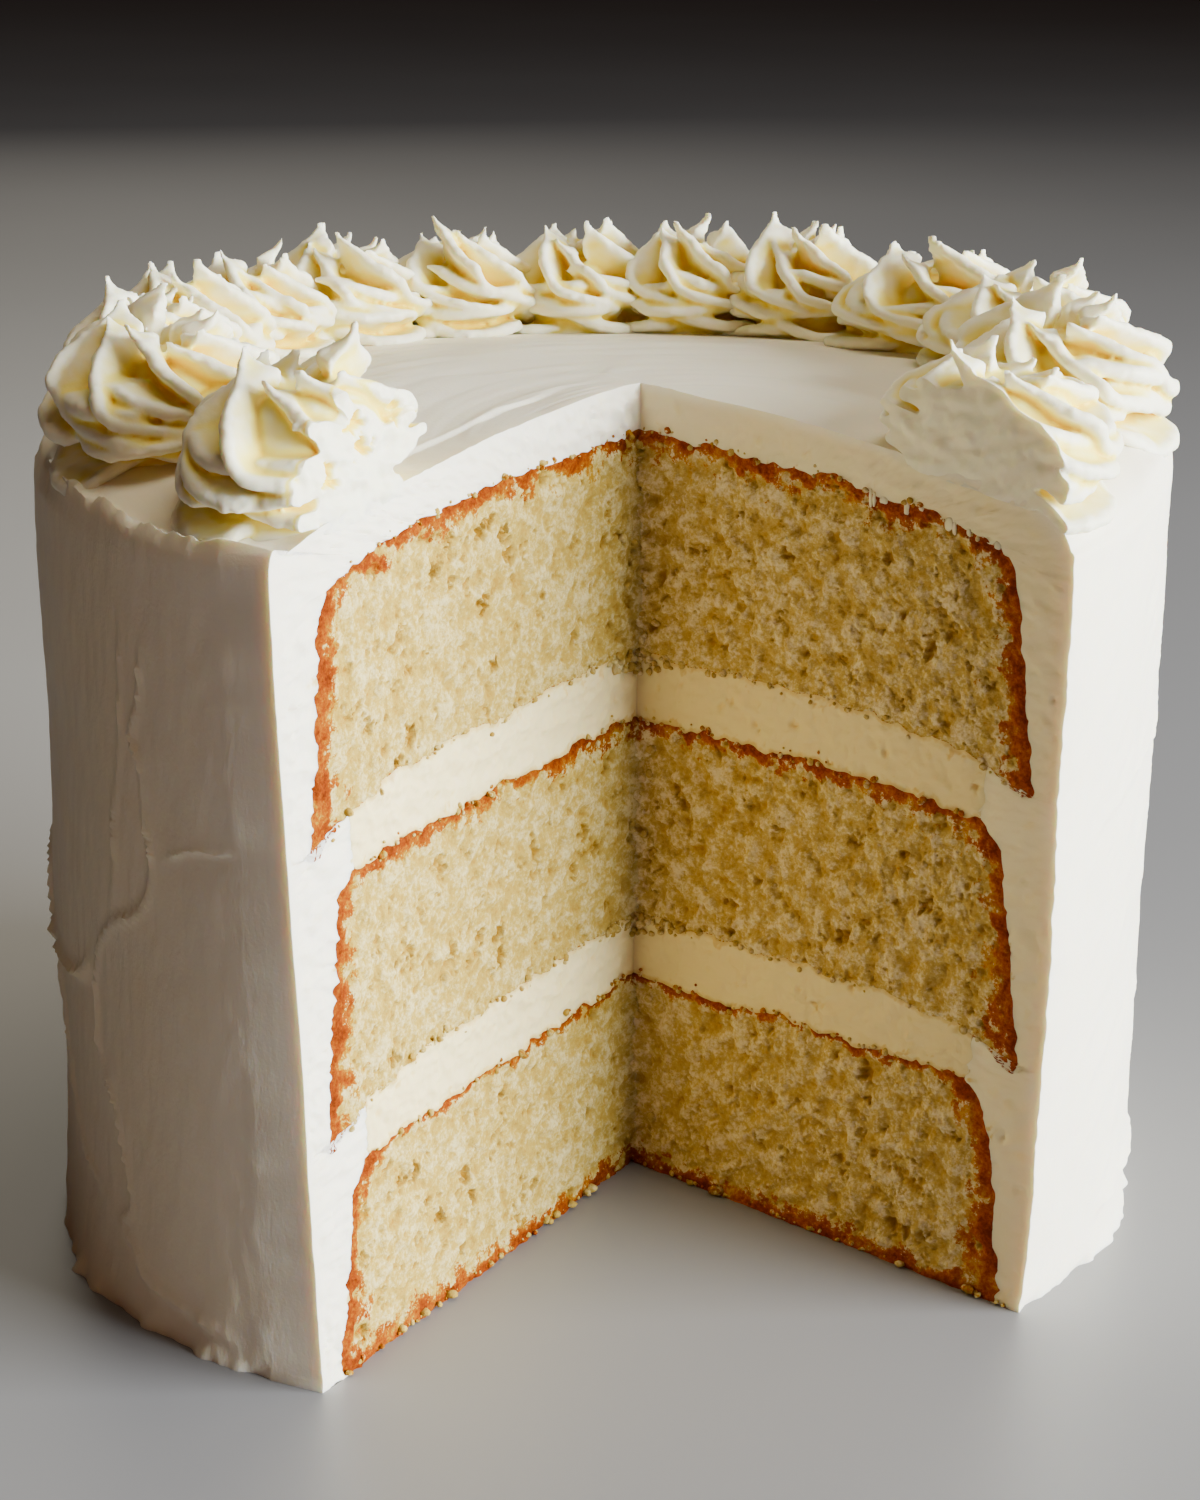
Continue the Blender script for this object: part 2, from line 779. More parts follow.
def on_face(cut: Cut, along: Array, z: Array, height: Array) -> Array:
    """Points that stand out of a cut face into the open wedge.

    Args:
        cut: the face.
        along: their distances from the apex line.
        z: their heights over the table.
        height: how far they stand out.

    Returns:
        The points, with x, y, z as the last direction.
    """
    turn = np.full(z.shape, cut.value)
    dx, dy = FORM.direction(turn, z)
    sign = 1.0 if cut is Cut.LEFT else -1.0
    out = np.stack([-sign * dy, sign * dx, np.zeros(z.shape)], axis=-1)
    return FORM.place(turn, along, z) + out * np.asarray(height)[..., None]


def both_faces(grids: dict[Cut, Array], relief: Relief) -> tuple[Solid, Array, Array]:
    """Start a solid with its two cut faces, which share the points on the apex line.

    Args:
        grids: (distance, height) over each face, the first column on the apex line.
        relief: gives the height of the relief and the painted values for a face.

    Returns:
        The solid, and the point numbers of its left and its right face.
    """
    sheets, painted = [], []
    for cut in Cut:
        along, z = grids[cut][..., 0], grids[cut][..., 1]
        height, values = relief(cut, along, z)
        sheets.append(on_face(cut, along, z, height))
        painted.append(values)
    left, right = sheets
    left[:, 0] = right[:, 0] = 0.5 * (left[:, 0] + right[:, 0])
    made = Solid()
    one = made.add(left, **painted[0])
    two = made.add(right[:, 1:], **{name: value[:, 1:] for name, value in painted[1].items()})
    two = np.concatenate([one[:, :1], two], axis=1)
    made.grid(one)
    made.grid(two, flip=True)
    return made, one, two


@dataclass
class CutBody:
    """A part between the two cuts: dense cut faces, and a coarser body swept round behind them."""

    outline: Outline
    along: int
    down: int
    coarse: int = GROUP
    behind: tuple[float, ...] = (0.0055,)
    rings: int = 34

    def border(self, turn: Array) -> tuple[Array, Array, Array]:
        """Boundary of the part on upright planes through the apex line.

        Args:
            turn: the planes, one number each.

        Returns:
            Top, side and bottom, each (plane, point, distance and height).
        """
        turn = np.atleast_1d(turn)[:, None]
        side = evenly(self.outline.side, self.down)
        out, level = FORM.on_side(turn, side[None, :, 0], side[None, :, 1])
        share = np.linspace(0, 1, self.along + 1)[None, :]
        curves = []
        for surface, corner in ((self.outline.top, 0), (self.outline.bottom, -1)):
            reach = out[:, corner : corner + 1] if corner == 0 else out[:, -1:]
            t = share * reach
            z = FORM.on_flat(turn, t, surface)
            z = z + (level[:, corner][:, None] - z[:, -1:]) * share**12
            curves.append(np.stack([t, z], axis=-1))
        top, bottom = curves
        rough = []
        for line in (top, np.stack([out, level], axis=-1), bottom):
            planes = np.broadcast_to(turn, line.shape[:2])
            t, z = FORM.roughen(planes, line[..., 0], line[..., 1])
            rough.append(np.stack([t, np.maximum(z, 0.0)], axis=-1))
        return rough[0], rough[1], rough[2]

    def face_grid(self, cut: Cut) -> Array:
        """Even grid of (distance, height) over one cut face."""
        top, side, bottom = (line[0] for line in self.border(np.array([cut.value])))
        share = np.linspace(0, 1, self.down + 1)[:, None]
        inner = top[0] * (1 - share) + bottom[0] * share
        return patch(top, side, bottom, inner)

    def solid(self, relief: Relief) -> Solid:
        """Build the closed body.

        Args:
            relief: gives the height of the relief and the painted values for a cut face.

        Returns:
            The finished solid.
        """
        made, one, two = both_faces({cut: self.face_grid(cut) for cut in Cut}, relief)
        self.sweep(made, one, two)
        return made

    def loop(self, sheet: Array) -> Array:
        """Numbers round a cut face from the apex at the top, out, down and back to the apex."""
        return np.concatenate([sheet[0], sheet[1:, -1], sheet[-1, -2::-1]])

    def sweep(self, made: Solid, one: Array, two: Array) -> None:
        """Join the cut faces by the hidden surface behind them.

        Args:
            made: the solid that is being built.
            one: point numbers of the left face.
            two: point numbers of the right face.
        """
        first, last = self.loop(one), self.loop(two)
        near = np.array(self.behind)
        far = np.linspace(near[-1] * 3.0, 1 - near[-1] * 3.0, self.rings)
        turns = np.concatenate([near, far, 1 - near[::-1]])
        top, side, bottom = self.border(turns)
        lines = np.concatenate([top, side[:, 1:], bottom[:, -2::-1]], axis=1)
        spots = FORM.spread(turns, lines)
        rows = []
        for k in range(len(turns)):
            fine = k < len(near) or k >= len(turns) - len(near)
            step = 1 if fine else self.coarse
            inside = made.add(spots[k][step:-1:step])
            rows.append(np.concatenate([first[:1], inside, first[-1:]]))
        rows = [first, *rows, last]
        for a, b in zip(rows, rows[1:]):
            if len(a) == len(b):
                made.grid(np.stack([a, b]), flip=True)
            elif len(a) > len(b):
                made.strip(a, b)
            else:
                made.strip(b, a, flip=True)


# ---------------------------------------------------------------- finishes


class NodeSheet:
    """Short way to lay out the nodes of one material."""

    def __init__(self, name: str) -> None:
        """Start an empty material, named after its slot, with an output and a Principled shader."""
        self.slot = name
        self.material = bpy.data.materials.new(name)
        self.material.use_nodes = True
        self.tree = self.material.node_tree
        self.shader = self.tree.nodes["Principled BSDF"]

    def add(self, kind: str, inputs: dict[Any, Any] | None = None, **settings: Any) -> bpy.types.Node:
        """Add a node.

        Args:
            kind: Blender's name of the node.
            inputs: values or sockets for its inputs.
            **settings: properties of the node itself.

        Returns:
            The node.
        """
        node = self.tree.nodes.new(kind)
        for name, value in settings.items():
            setattr(node, name, value)
        for key, value in (inputs or {}).items():
            self.feed(node.inputs[key], value)
        return node

    def feed(self, socket: Socket, value: Any) -> None:
        """Link a socket, or set its own value."""
        if isinstance(value, Socket):
            self.tree.links.new(value, socket)
        else:
            socket.default_value = value

    def painted(self, name: str) -> Socket:
        """A value painted on the mesh."""
        return self.add("ShaderNodeAttribute", attribute_name=name).outputs["Fac"]

    def math(self, operation: str, first: Any, second: Any, third: Any = 0.0) -> Socket:
        """A sum or product of values."""
        inputs = {0: first, 1: second, 2: third}
        return self.add("ShaderNodeMath", inputs, operation=operation).outputs[0]

    def plus(self, base: Any, value: Any, factor: Any) -> Socket:
        """A base with a value added that is multiplied by a factor."""
        return self.math("MULTIPLY_ADD", value, factor, base)

    def span(self, value: Any, low: float, high: float, kind: str = "LINEAR") -> Socket:
        """A value turned into a share, 0 at low and 1 at high."""
        inputs = {0: value, 1: low, 2: high}
        return self.add("ShaderNodeMapRange", inputs, interpolation_type=kind).outputs[0]

    def around(self, value: Any) -> Socket:
        """The same noise, spread about nought instead of a half."""
        return self.math("SUBTRACT", value, 0.5)

    def noise(
        self, size: float, detail: float = 3.0, roughness: float = 0.55, stretch: Triple = (1.0, 1.0, 1.0)
    ) -> Socket:
        """Noise in the cake's own space.

        Args:
            size: size of its features in millimetres.
            detail: octaves.
            roughness: strength of the fine octaves.
            stretch: scale along each direction.

        Returns:
            The socket with its value.
        """
        where = self.add("ShaderNodeTexCoord").outputs["Object"]
        scaled = self.add("ShaderNodeMapping", {"Vector": where, "Scale": stretch}).outputs[0]
        inputs = {"Vector": scaled, "Scale": 1000.0 / size, "Detail": detail, "Roughness": roughness}
        return self.add("ShaderNodeTexNoise", inputs).outputs["Fac"]

    def ramp(self, value: Any, stops: Sequence[tuple[float, Triple]]) -> Socket:
        """Colours along a value.

        Args:
            value: the socket that chooses the colour.
            stops: pairs of place and colour.

        Returns:
            The socket with the colour.
        """
        node = self.add("ShaderNodeValToRGB", {0: value})
        marks = node.color_ramp.elements
        while len(marks) < len(stops):
            marks.new(0.5)
        for mark, (place, colour) in zip(marks, stops):
            mark.position = place
            mark.color = (*colour, 1.0)
        return node.outputs["Color"]

    def mix(self, share: Any, first: Any, second: Any, blend: str = "MIX") -> Socket:
        """Mix two colours."""
        node = self.add("ShaderNodeMix", data_type="RGBA", blend_type=blend)
        for key, value in ((0, share), (6, first), (7, second)):
            given = (*value, 1.0) if isinstance(value, tuple) and len(value) == 3 else value
            self.feed(node.inputs[key], given)
        return node.outputs[2]

    def bump(self, height: Any, strength: float, depth: float, below: Socket | None = None) -> Socket:
        """Small relief in the shading.

        Args:
            height: the socket with the height.
            strength: share of the relief that shows.
            depth: its full depth in millimetres.
            below: another bump to add to.

        Returns:
            The socket with the normal.
        """
        inputs = {"Height": height, "Strength": strength, "Distance": depth * MM}
        if below is not None:
            inputs["Normal"] = below
        return self.add("ShaderNodeBump", inputs).outputs[0]

    def surface(self, inputs: dict[str, Any]) -> None:
        """Set or link the inputs of the Principled shader."""
        for name, value in inputs.items():
            self.feed(self.shader.inputs[name], value)

    def dress(self, piece: Thing) -> None:
        """Give the material to a piece."""
        piece.data.materials.clear()
        piece.data.materials.append(self.material)

    def hand_in(self, piece: Thing, node: str) -> Thing:
        """Finish a piece that takes the place of a plain solid.

        Args:
            piece: the piece.
            node: the solid that it replaces.

        Returns:
            The piece, with this material.
        """
        self.dress(piece)
        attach(piece, "root")
        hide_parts(node)
        return piece


@dataclass(frozen=True)
class CrumbFinish:
    """Vanilla sponge: pale crumb, darker in its pores, browned to orange along the crust."""

    pale: Triple = (0.76, 0.63, 0.36)
    middle: Triple = (0.53, 0.375, 0.095)
    deep: Triple = (0.38, 0.195, 0.014)
    golden: Triple = (0.48, 0.235, 0.035)
    orange: Triple = (0.40, 0.098, 0.006)
    toasted: Triple = (0.28, 0.042, 0.004)
    brown: Triple = (0.15, 0.020, 0.003)
    left_tint: Triple = (0.80, 0.79, 0.62)
    left_crust_tint: Triple = (0.72, 0.80, 0.30)

    def sheet(self) -> NodeSheet:
        """Lay out the material.

        Returns:
            The finished material.
        """
        made = NodeSheet("sponge_crumb")
        coarse, crust = made.painted("coarse"), made.painted("crust")
        grain = made.around(made.noise(0.55, 3.0, 0.7))
        clump = made.around(made.noise(2.1, 2.0, 0.6))
        soft = made.around(made.noise(7.0, 2.0))
        tone = made.plus(0.16, made.painted("pore"), made.plus(0.75, coarse, 0.05))
        tone = made.plus(tone, clump, made.plus(0.7, coarse, 0.2))
        tone = made.plus(tone, grain, made.plus(1.1, coarse, 0.2))
        patches = made.span(made.noise(3.2, 2.0, 0.6), 0.50, 0.66)
        tone = made.plus(made.plus(tone, soft, 0.35), patches, 0.20)
        crumb = made.ramp(tone, ((0.0, self.pale), (0.36, self.middle), (1.0, self.deep)))
        shade = made.plus(made.plus(crust, grain, 1.7), clump, 0.8)
        blotch = made.math("MULTIPLY", made.around(made.noise(4.5, 2.0, 0.6)), 1.1)
        browns = ((0.26, self.golden), (0.44, self.orange), (0.68, self.toasted), (0.95, self.brown))
        toast = made.ramp(made.plus(blotch, shade, 0.66), browns)
        edge = made.span(shade, 0.34, 0.56, "SMOOTHSTEP")
        face, crust_face = (
            made.ramp(coarse, ((0.0, tint), (1.0, WHITE))) for tint in (self.left_tint, self.left_crust_tint)
        )
        crumb, toast = made.mix(1.0, crumb, face, "MULTIPLY"), made.mix(1.0, toast, crust_face, "MULTIPLY")
        lumps = made.bump(made.math("MULTIPLY", clump, made.plus(0.3, coarse, 0.7)), 0.8, 0.9)
        made.surface({
            "Base Color": made.mix(edge, crumb, toast),
            "Roughness": 0.85,
            "Specular IOR Level": 0.06,
            "Subsurface Weight": 0.15,
            "Subsurface Radius": (1.0, 0.55, 0.18),
            "Subsurface Scale": 0.9 * MM,
            "Normal": made.bump(made.noise(0.5, 3.0, 0.7), 0.8, 0.3, lumps),
        })
        return made


@dataclass(frozen=True)
class ButtercreamFinish:
    """Ivory buttercream: soft glow in its folds, faint mottling and the fine drag of the spatula."""

    kind: Cream
    pale: Triple = (0.93, 0.865, 0.70)
    warm: Triple = (0.90, 0.78, 0.46)
    deep: Triple = (0.87, 0.68, 0.28)
    crumb: Triple = (0.72, 0.52, 0.18)
    rough: float = 0.50
    glow: float = 0.45
    drag: Triple = (1.0, 1.0, 0.4)
    drag_depth: float = 0.14

    def sheet(self) -> NodeSheet:
        """Lay out the material.

        Returns:
            The finished material.
        """
        made = NodeSheet(self.kind.value)
        soft = made.around(made.noise(9.0, 2.0))
        tone = made.plus(made.painted("fold"), soft, 0.16)
        colour = made.ramp(tone, ((0.0, self.pale), (0.4, self.warm), (1.0, self.deep)))
        crumb = made.plus(made.painted("speck"), made.around(made.noise(0.8, 2.0)), 0.8)
        trowel = made.math("MULTIPLY", made.noise(1.3, 3.0, 0.6, self.drag), made.painted("outside"))
        strokes = made.bump(trowel, 0.9, self.drag_depth)
        made.surface({
            "Base Color": made.mix(made.span(crumb, 0.20, 0.60), colour, self.crumb),
            "Roughness": made.plus(self.rough, soft, 0.2),
            "Specular IOR Level": 0.35,
            "Subsurface Weight": self.glow,
            "Subsurface Radius": (1.0, 0.72, 0.38),
            "Subsurface Scale": 1.4 * MM,
            "Normal": made.bump(made.noise(0.5, 2.0, 0.5), 0.5, 0.07, strokes),
        })
        return made


# ---------------------------------------------------------------- sponges


class CreamChart:
    """Relief of all the buttercream in one cut face, so that fillings and coat run into each other."""

    def __init__(self, cut: Cut) -> None:
        """Lay out the drag marks, bubbles and dragged crumbs of a face."""
        self.chart = ReliefMap(-2.0, 128.0, 31 if cut is Cut.RIGHT else 30)
        area = self.chart.WIDTH * 130.0
        drag = self.chart.rolling((0.03, 11.0, 1.6), (0.02, 4.0, 0.9))
        lumps = self.chart.rolling((0.15, 4.2, 3.0), (0.09, 1.5, 1.3), (0.04, 0.8, 0.7))
        bubbles = self.chart.torn(self.chart.pores(int(area * 0.06), 0.18, 0.6, 1.3, 1.1), 0.2, 1.0)
        self.bubbles = bubbles
        self.bits = self.chart.torn(self.chart.pores(int(area * 0.08), 0.25, 0.8, 1.4, 1.0), 0.35, 1.0)
        calm = 0.45 if cut is Cut.RIGHT else 1.0
        self.chart.values = calm * (drag + lumps) - bubbles + 0.35 * self.bits

    def height(self, across: Array, up: Array) -> Array:
        """Height of the relief, which fades out in the corner of the wedge."""
        return self.chart.read(across, up) * ramp(across, 0.0, 1.5)

    def pits(self, across: Array, up: Array) -> Array:
        """How deep in an open bubble each place is, from 0 to 1."""
        return np.clip(1.5 * self.chart.read(across, up, self.bubbles), 0.0, 1.0)

    def crumbs(self, across: Array, up: Array) -> Array:
        """Where crumbs are dragged into the cream, from 0 to 1."""
        return np.clip(1.6 * self.chart.read(across, up, self.bits), 0.0, 1.0)


CREAM_CHARTS = {cut: CreamChart(cut) for cut in Cut}


@dataclass
class SpongeLayer:
    """One sponge layer with its crumb torn open at both cuts."""

    node: str
    outline: Outline
    low: float
    high: float
    seed: int
    top_crust: float
    bottom_crust: float
    pitch: float = 0.30
    hanging: int = 46
    cornered: int = 13
    spilled: int = 24
    dropped: int = 26

    def charts(self, cut: Cut) -> tuple[ReliefMap, Array]:
        """Crumb relief of one face.

        Args:
            cut: the face.

        Returns:
            The map of heights, and the map of how deep in a pore each place is.
        """
        chart = ReliefMap(self.low - 9.0, self.high + 6.0, self.seed + (50 if cut is Cut.RIGHT else 0))
        area = chart.WIDTH * (self.high - self.low + 15.0)
        if cut is Cut.LEFT:
            body = chart.rolling((0.12, 4.0, 4.0), (0.07, 1.8, 1.9), (0.04, 0.9, 0.9))
            lumps = chart.torn(0.34 * chart.grains(1.7) + 0.22 * chart.grains(0.85), 0.30, 1.3)
            holes = chart.torn(chart.pores(int(area * 0.24), 0.18, 0.50, 1.7, 1.3), 0.28, 1.0)
            large = chart.torn(chart.pores(int(area * 0.020), 0.5, 1.1, 1.6, 1.1), 0.45, 1.2)
            hue = 0.75
        else:
            body = chart.rolling((0.16, 5.0, 5.0), (0.10, 2.6, 2.6))
            lumps = chart.torn(0.66 * chart.grains(1.9) + 0.46 * chart.grains(1.0), 0.35, 1.2)
            holes = chart.torn(chart.pores(int(area * 0.06), 0.3, 0.7, 1.0, 1.1), 0.3, 1.0)
            large = chart.torn(chart.pores(int(area * 0.005), 0.7, 1.3, 1.1, 0.8), 0.4, 1.5)
            hue = 1.0
        holes = np.maximum(holes, large)
        near = np.exp(-chart.across / 4.0)[None, :]
        rough = chart.torn(chart.grains(2.4), 0.5, 2.0) + 0.4 * chart.waves(3.0, 3.0)
        filled = 0.85 * np.exp(-((chart.across / 1.4) ** 2))[None, :]
        body = body + near * (0.50 * rough - 0.05) + filled
        chart.values = body + lumps - lumps.mean() - holes
        deep = hue * (0.16 - 1.0 * (lumps - lumps.mean()) - 0.6 * body) + 1.25 * holes
        deep = deep + (0.12 * near + 0.5 * filled) * np.clip(1.0 - rough, 0, 1)
        return chart, np.clip(deep, 0.0, 1.0)

    def crust(self, cut: Cut, along: Array, z: Array) -> Array:
        """How browned each point of a cut face is.

        Args:
            cut: the face.
            along: distances from the apex of its grid.
            z: heights of its grid.

        Returns:
            A number from 0 in the crumb to 1 in the crust.
        """
        sheet = np.stack([along, z], axis=-1)
        edge = nearness(sheet, sheet[:, -1])
        below = nearness(sheet, sheet[0])
        above = nearness(sheet, sheet[-1])
        spots = FORM.place(np.full(along.shape, cut.value), along, z).reshape(-1, 3)
        spotty = Noise(self.seed + 3).at(spots, 2.6).reshape(along.shape)
        broken = Noise(self.seed + 4).at(spots, 1.1).reshape(along.shape)
        low = np.linspace(0, 1, along.shape[0])[:, None]
        side = (3.2 + 3.2 * low**3) * (1 + 0.60 * spotty + 0.65 * broken)
        browned = np.clip(1.30 - edge / np.maximum(side, 0.05), 0, 1)
        top = self.top_crust * (1 + 0.75 * spotty + 0.75 * broken)
        browned = np.maximum(browned, np.clip(1.15 - below / np.maximum(top, 0.05), 0, 1))
        foot = self.bottom_crust * (1 + 0.60 * spotty + 0.60 * broken)
        return np.maximum(browned, np.clip(1.15 - above / np.maximum(foot, 0.05), 0, 1))

    def relief(self, cut: Cut, along: Array, z: Array) -> tuple[Array, Painted]:
        """Relief and painted values of one cut face.

        Args:
            cut: the face.
            along: distances from the apex.
            z: heights.

        Returns:
            The height out of the face, and the painted values.
        """
        chart, deep = self.charts(cut)
        height = chart.read(along, z)
        pore = chart.read(along, z, deep)
        browned = self.crust(cut, along, z)
        sheet = np.stack([along, z], axis=-1)
        edge = np.minimum(nearness(sheet, sheet[:, -1]), nearness(sheet, sheet[0]))
        edge = np.minimum(z - z[-1], edge)
        grit = chart.read(along, z, 0.34 * chart.torn(chart.grains(0.9), 0.2, 0.8)) - 0.14
        height = np.clip(height * (1 - 0.7 * browned) + grit * browned, -1.7, 1.2)
        cream = CREAM_CHARTS[cut].height(along, z)
        inner = ramp(edge, 0.0, 0.9)
        coarse = np.full(height.shape, 1.0 if cut is Cut.RIGHT else 0.0)
        return height * inner + cream * (1 - inner), {"pore": pore, "crust": browned, "coarse": coarse}

    def hang_crumbs(self, made: Solid, body: CutBody) -> None:
        """Leave crumbs that still hang on the borders of the cut faces and in the corner of the wedge.

        Args:
            made: the sponge that they hang on.
            body: its shape.
        """
        dice = np.random.default_rng(self.seed + 8)
        for cut in Cut:
            top, _, bottom = (line[0] for line in body.border(np.array([cut.value])))
            spots: list[tuple[float, float, float, float]] = []
            for line, crusty in ((top, self.top_crust > 0.0), (bottom, self.bottom_crust > 0.0)):
                for place in dice.uniform(0.03, 0.98, self.hanging) ** 1.3:
                    t, z = line[int(place * (len(line) - 1))]
                    brown = dice.uniform(0.0, 0.7) if crusty else 0.0
                    level = max(z + dice.normal(0, 0.5), 0.5)
                    spots.append((t, level, 0.22 + 0.50 * dice.random() ** 3, brown))
            for place in dice.uniform(0.04, 0.96, self.cornered):
                z = bottom[0, 1] + place * (top[0, 1] - bottom[0, 1])
                spots.append((0.8 + 3.4 * dice.random() ** 2, max(z, 0.8), dice.uniform(0.4, 0.9), 0.0))
            for _ in range(self.spilled if self.low else 0):
                t = 0.3 + 9.0 * dice.random() ** 1.8
                drop = (3.6 - 0.3 * t) * dice.random()
                spots.append((t, bottom[0, 1] - drop, dice.uniform(0.3, 0.75), 0.0))
            for k, (t, z, size, brown) in enumerate(spots):
                level = np.array([max(z, 1.3 * size)])
                middle = on_face(cut, np.array([t]), level, [size * dice.uniform(-0.3, 0.45)])[0]
                scale = (size, size * dice.uniform(0.7, 1.0), size * dice.uniform(0.7, 1.1))
                shade = {"pore": dice.uniform(0.0, 0.45), "crust": brown, "coarse": cut.value}
                made.lump(middle, scale, dice.uniform(0, 180), self.seed + 5 * k, **shade)

    def drop_crumbs(self, made: Solid) -> None:
        """Leave crumbs where the cut faces meet the table, still hanging on the sponge."""
        dice = np.random.default_rng(self.seed + 9)
        for k in range(self.dropped):
            cut = Cut.LEFT if k % 2 else Cut.RIGHT
            size = 0.35 + 0.75 * dice.random() ** 2
            along, level = np.array([dice.uniform(8.0, 76.0)]), np.array([0.95 * size])
            middle = on_face(cut, along, level, [size * dice.uniform(0.2, 0.9)])[0]
            scale = (size, size * dice.uniform(0.6, 1.0), size * dice.uniform(0.6, 0.75))
            turn, pore = dice.uniform(0, 180), dice.uniform(0, 0.4)
            made.lump(middle, scale, turn, 700 + k, pore=pore, crust=dice.random() ** 2)

    def build(self, sheet: NodeSheet) -> Thing:
        """Make the layer in place of its plain solid.

        Args:
            sheet: its material.

        Returns:
            The finished piece.
        """
        along, down = (intervals(length, self.pitch) for length in (74.0, self.high - self.low + 6.0))
        body = CutBody(self.outline, along, down)
        made = body.solid(self.relief)
        self.hang_crumbs(made, body)
        if self.low == 0.0:
            self.drop_crumbs(made)
        return sheet.hand_in(made.object(self.node + "_crumb", 55.0), self.node)


# ---------------------------------------------------------------- buttercream


@dataclass
class Filling:
    """Buttercream between two sponges, smeared by the knife."""

    node: str
    outline: Outline
    pitch: float = 0.36

    def relief(self, cut: Cut, along: Array, z: Array) -> tuple[Array, Painted]:
        """Relief and painted values of one cut face.

        Args:
            cut: the face.
            along: distances from the apex.
            z: heights.

        Returns:
            The height out of the face, and the painted values.
        """
        cream = CREAM_CHARTS[cut]
        edge = np.minimum(z[0] - z, z - z[-1])
        speck = cream.crumbs(along, z) * (1 - 0.80 * ramp(edge, 0.4, 3.0))
        speck = speck + 0.65 * np.exp(-((edge / 0.7) ** 2))
        fold = 0.2 * speck + 0.7 * cream.pits(along, z)
        return cream.height(along, z), {"speck": speck, "fold": fold}

    def build(self, sheet: NodeSheet) -> Thing:
        """Make the filling in place of its plain solid.

        Args:
            sheet: its material.

        Returns:
            The finished piece.
        """
        along, down = (intervals(length, self.pitch) for length in (FORM.filling_radius, 10.0))
        body = CutBody(self.outline, along, down)
        return sheet.hand_in(body.solid(self.relief).object(self.node + "_cream", 60.0), self.node)


@dataclass(frozen=True)
class Stroke:
    """A ridge that the spatula left on the side: its course, height, width and the step across it."""

    course: tuple[Pair, ...]
    height: float
    width: float
    step: float = 0.0

    def relief(self, azimuth: Array, z: Array) -> Array:
        """Height of the stroke over the side of the cake.

        Args:
            azimuth: directions of the points.
            z: their heights.

        Returns:
            How far each point stands out.
        """
        path = smooth_curve([(turn * PER_DEGREE, level) for turn, level in self.course], 0.8)
        spots = np.stack([azimuth * PER_DEGREE, z], axis=-1).reshape(-1, 2)
        low, high = path.min(axis=0) - 5 * self.width, path.max(axis=0) + 5 * self.width
        near = np.all((spots > low) & (spots < high), axis=1)
        made = np.zeros(len(spots))
        if near.any():
            offset = spots[near][:, None, :] - path[None]
            far = np.einsum("ijk,ijk->ij", offset, offset)
            best = far.argmin(axis=1)
            distance = np.sqrt(far[np.arange(len(best)), best])
            heading = np.gradient(path, axis=0)[best]
            gap = offset[np.arange(len(best)), best]
            side = np.sign(heading[:, 0] * gap[:, 1] - heading[:, 1] * gap[:, 0])
            fade = np.clip(np.minimum(best, len(path) - 1 - best) / 6.0, 0, 1)
            ridge = self.height * np.exp(-((distance / self.width) ** 2))
            ridge = ridge + self.step * side * np.exp(-distance / (3 * self.width))
            made[near] = ridge * fade
        return made.reshape(azimuth.shape)


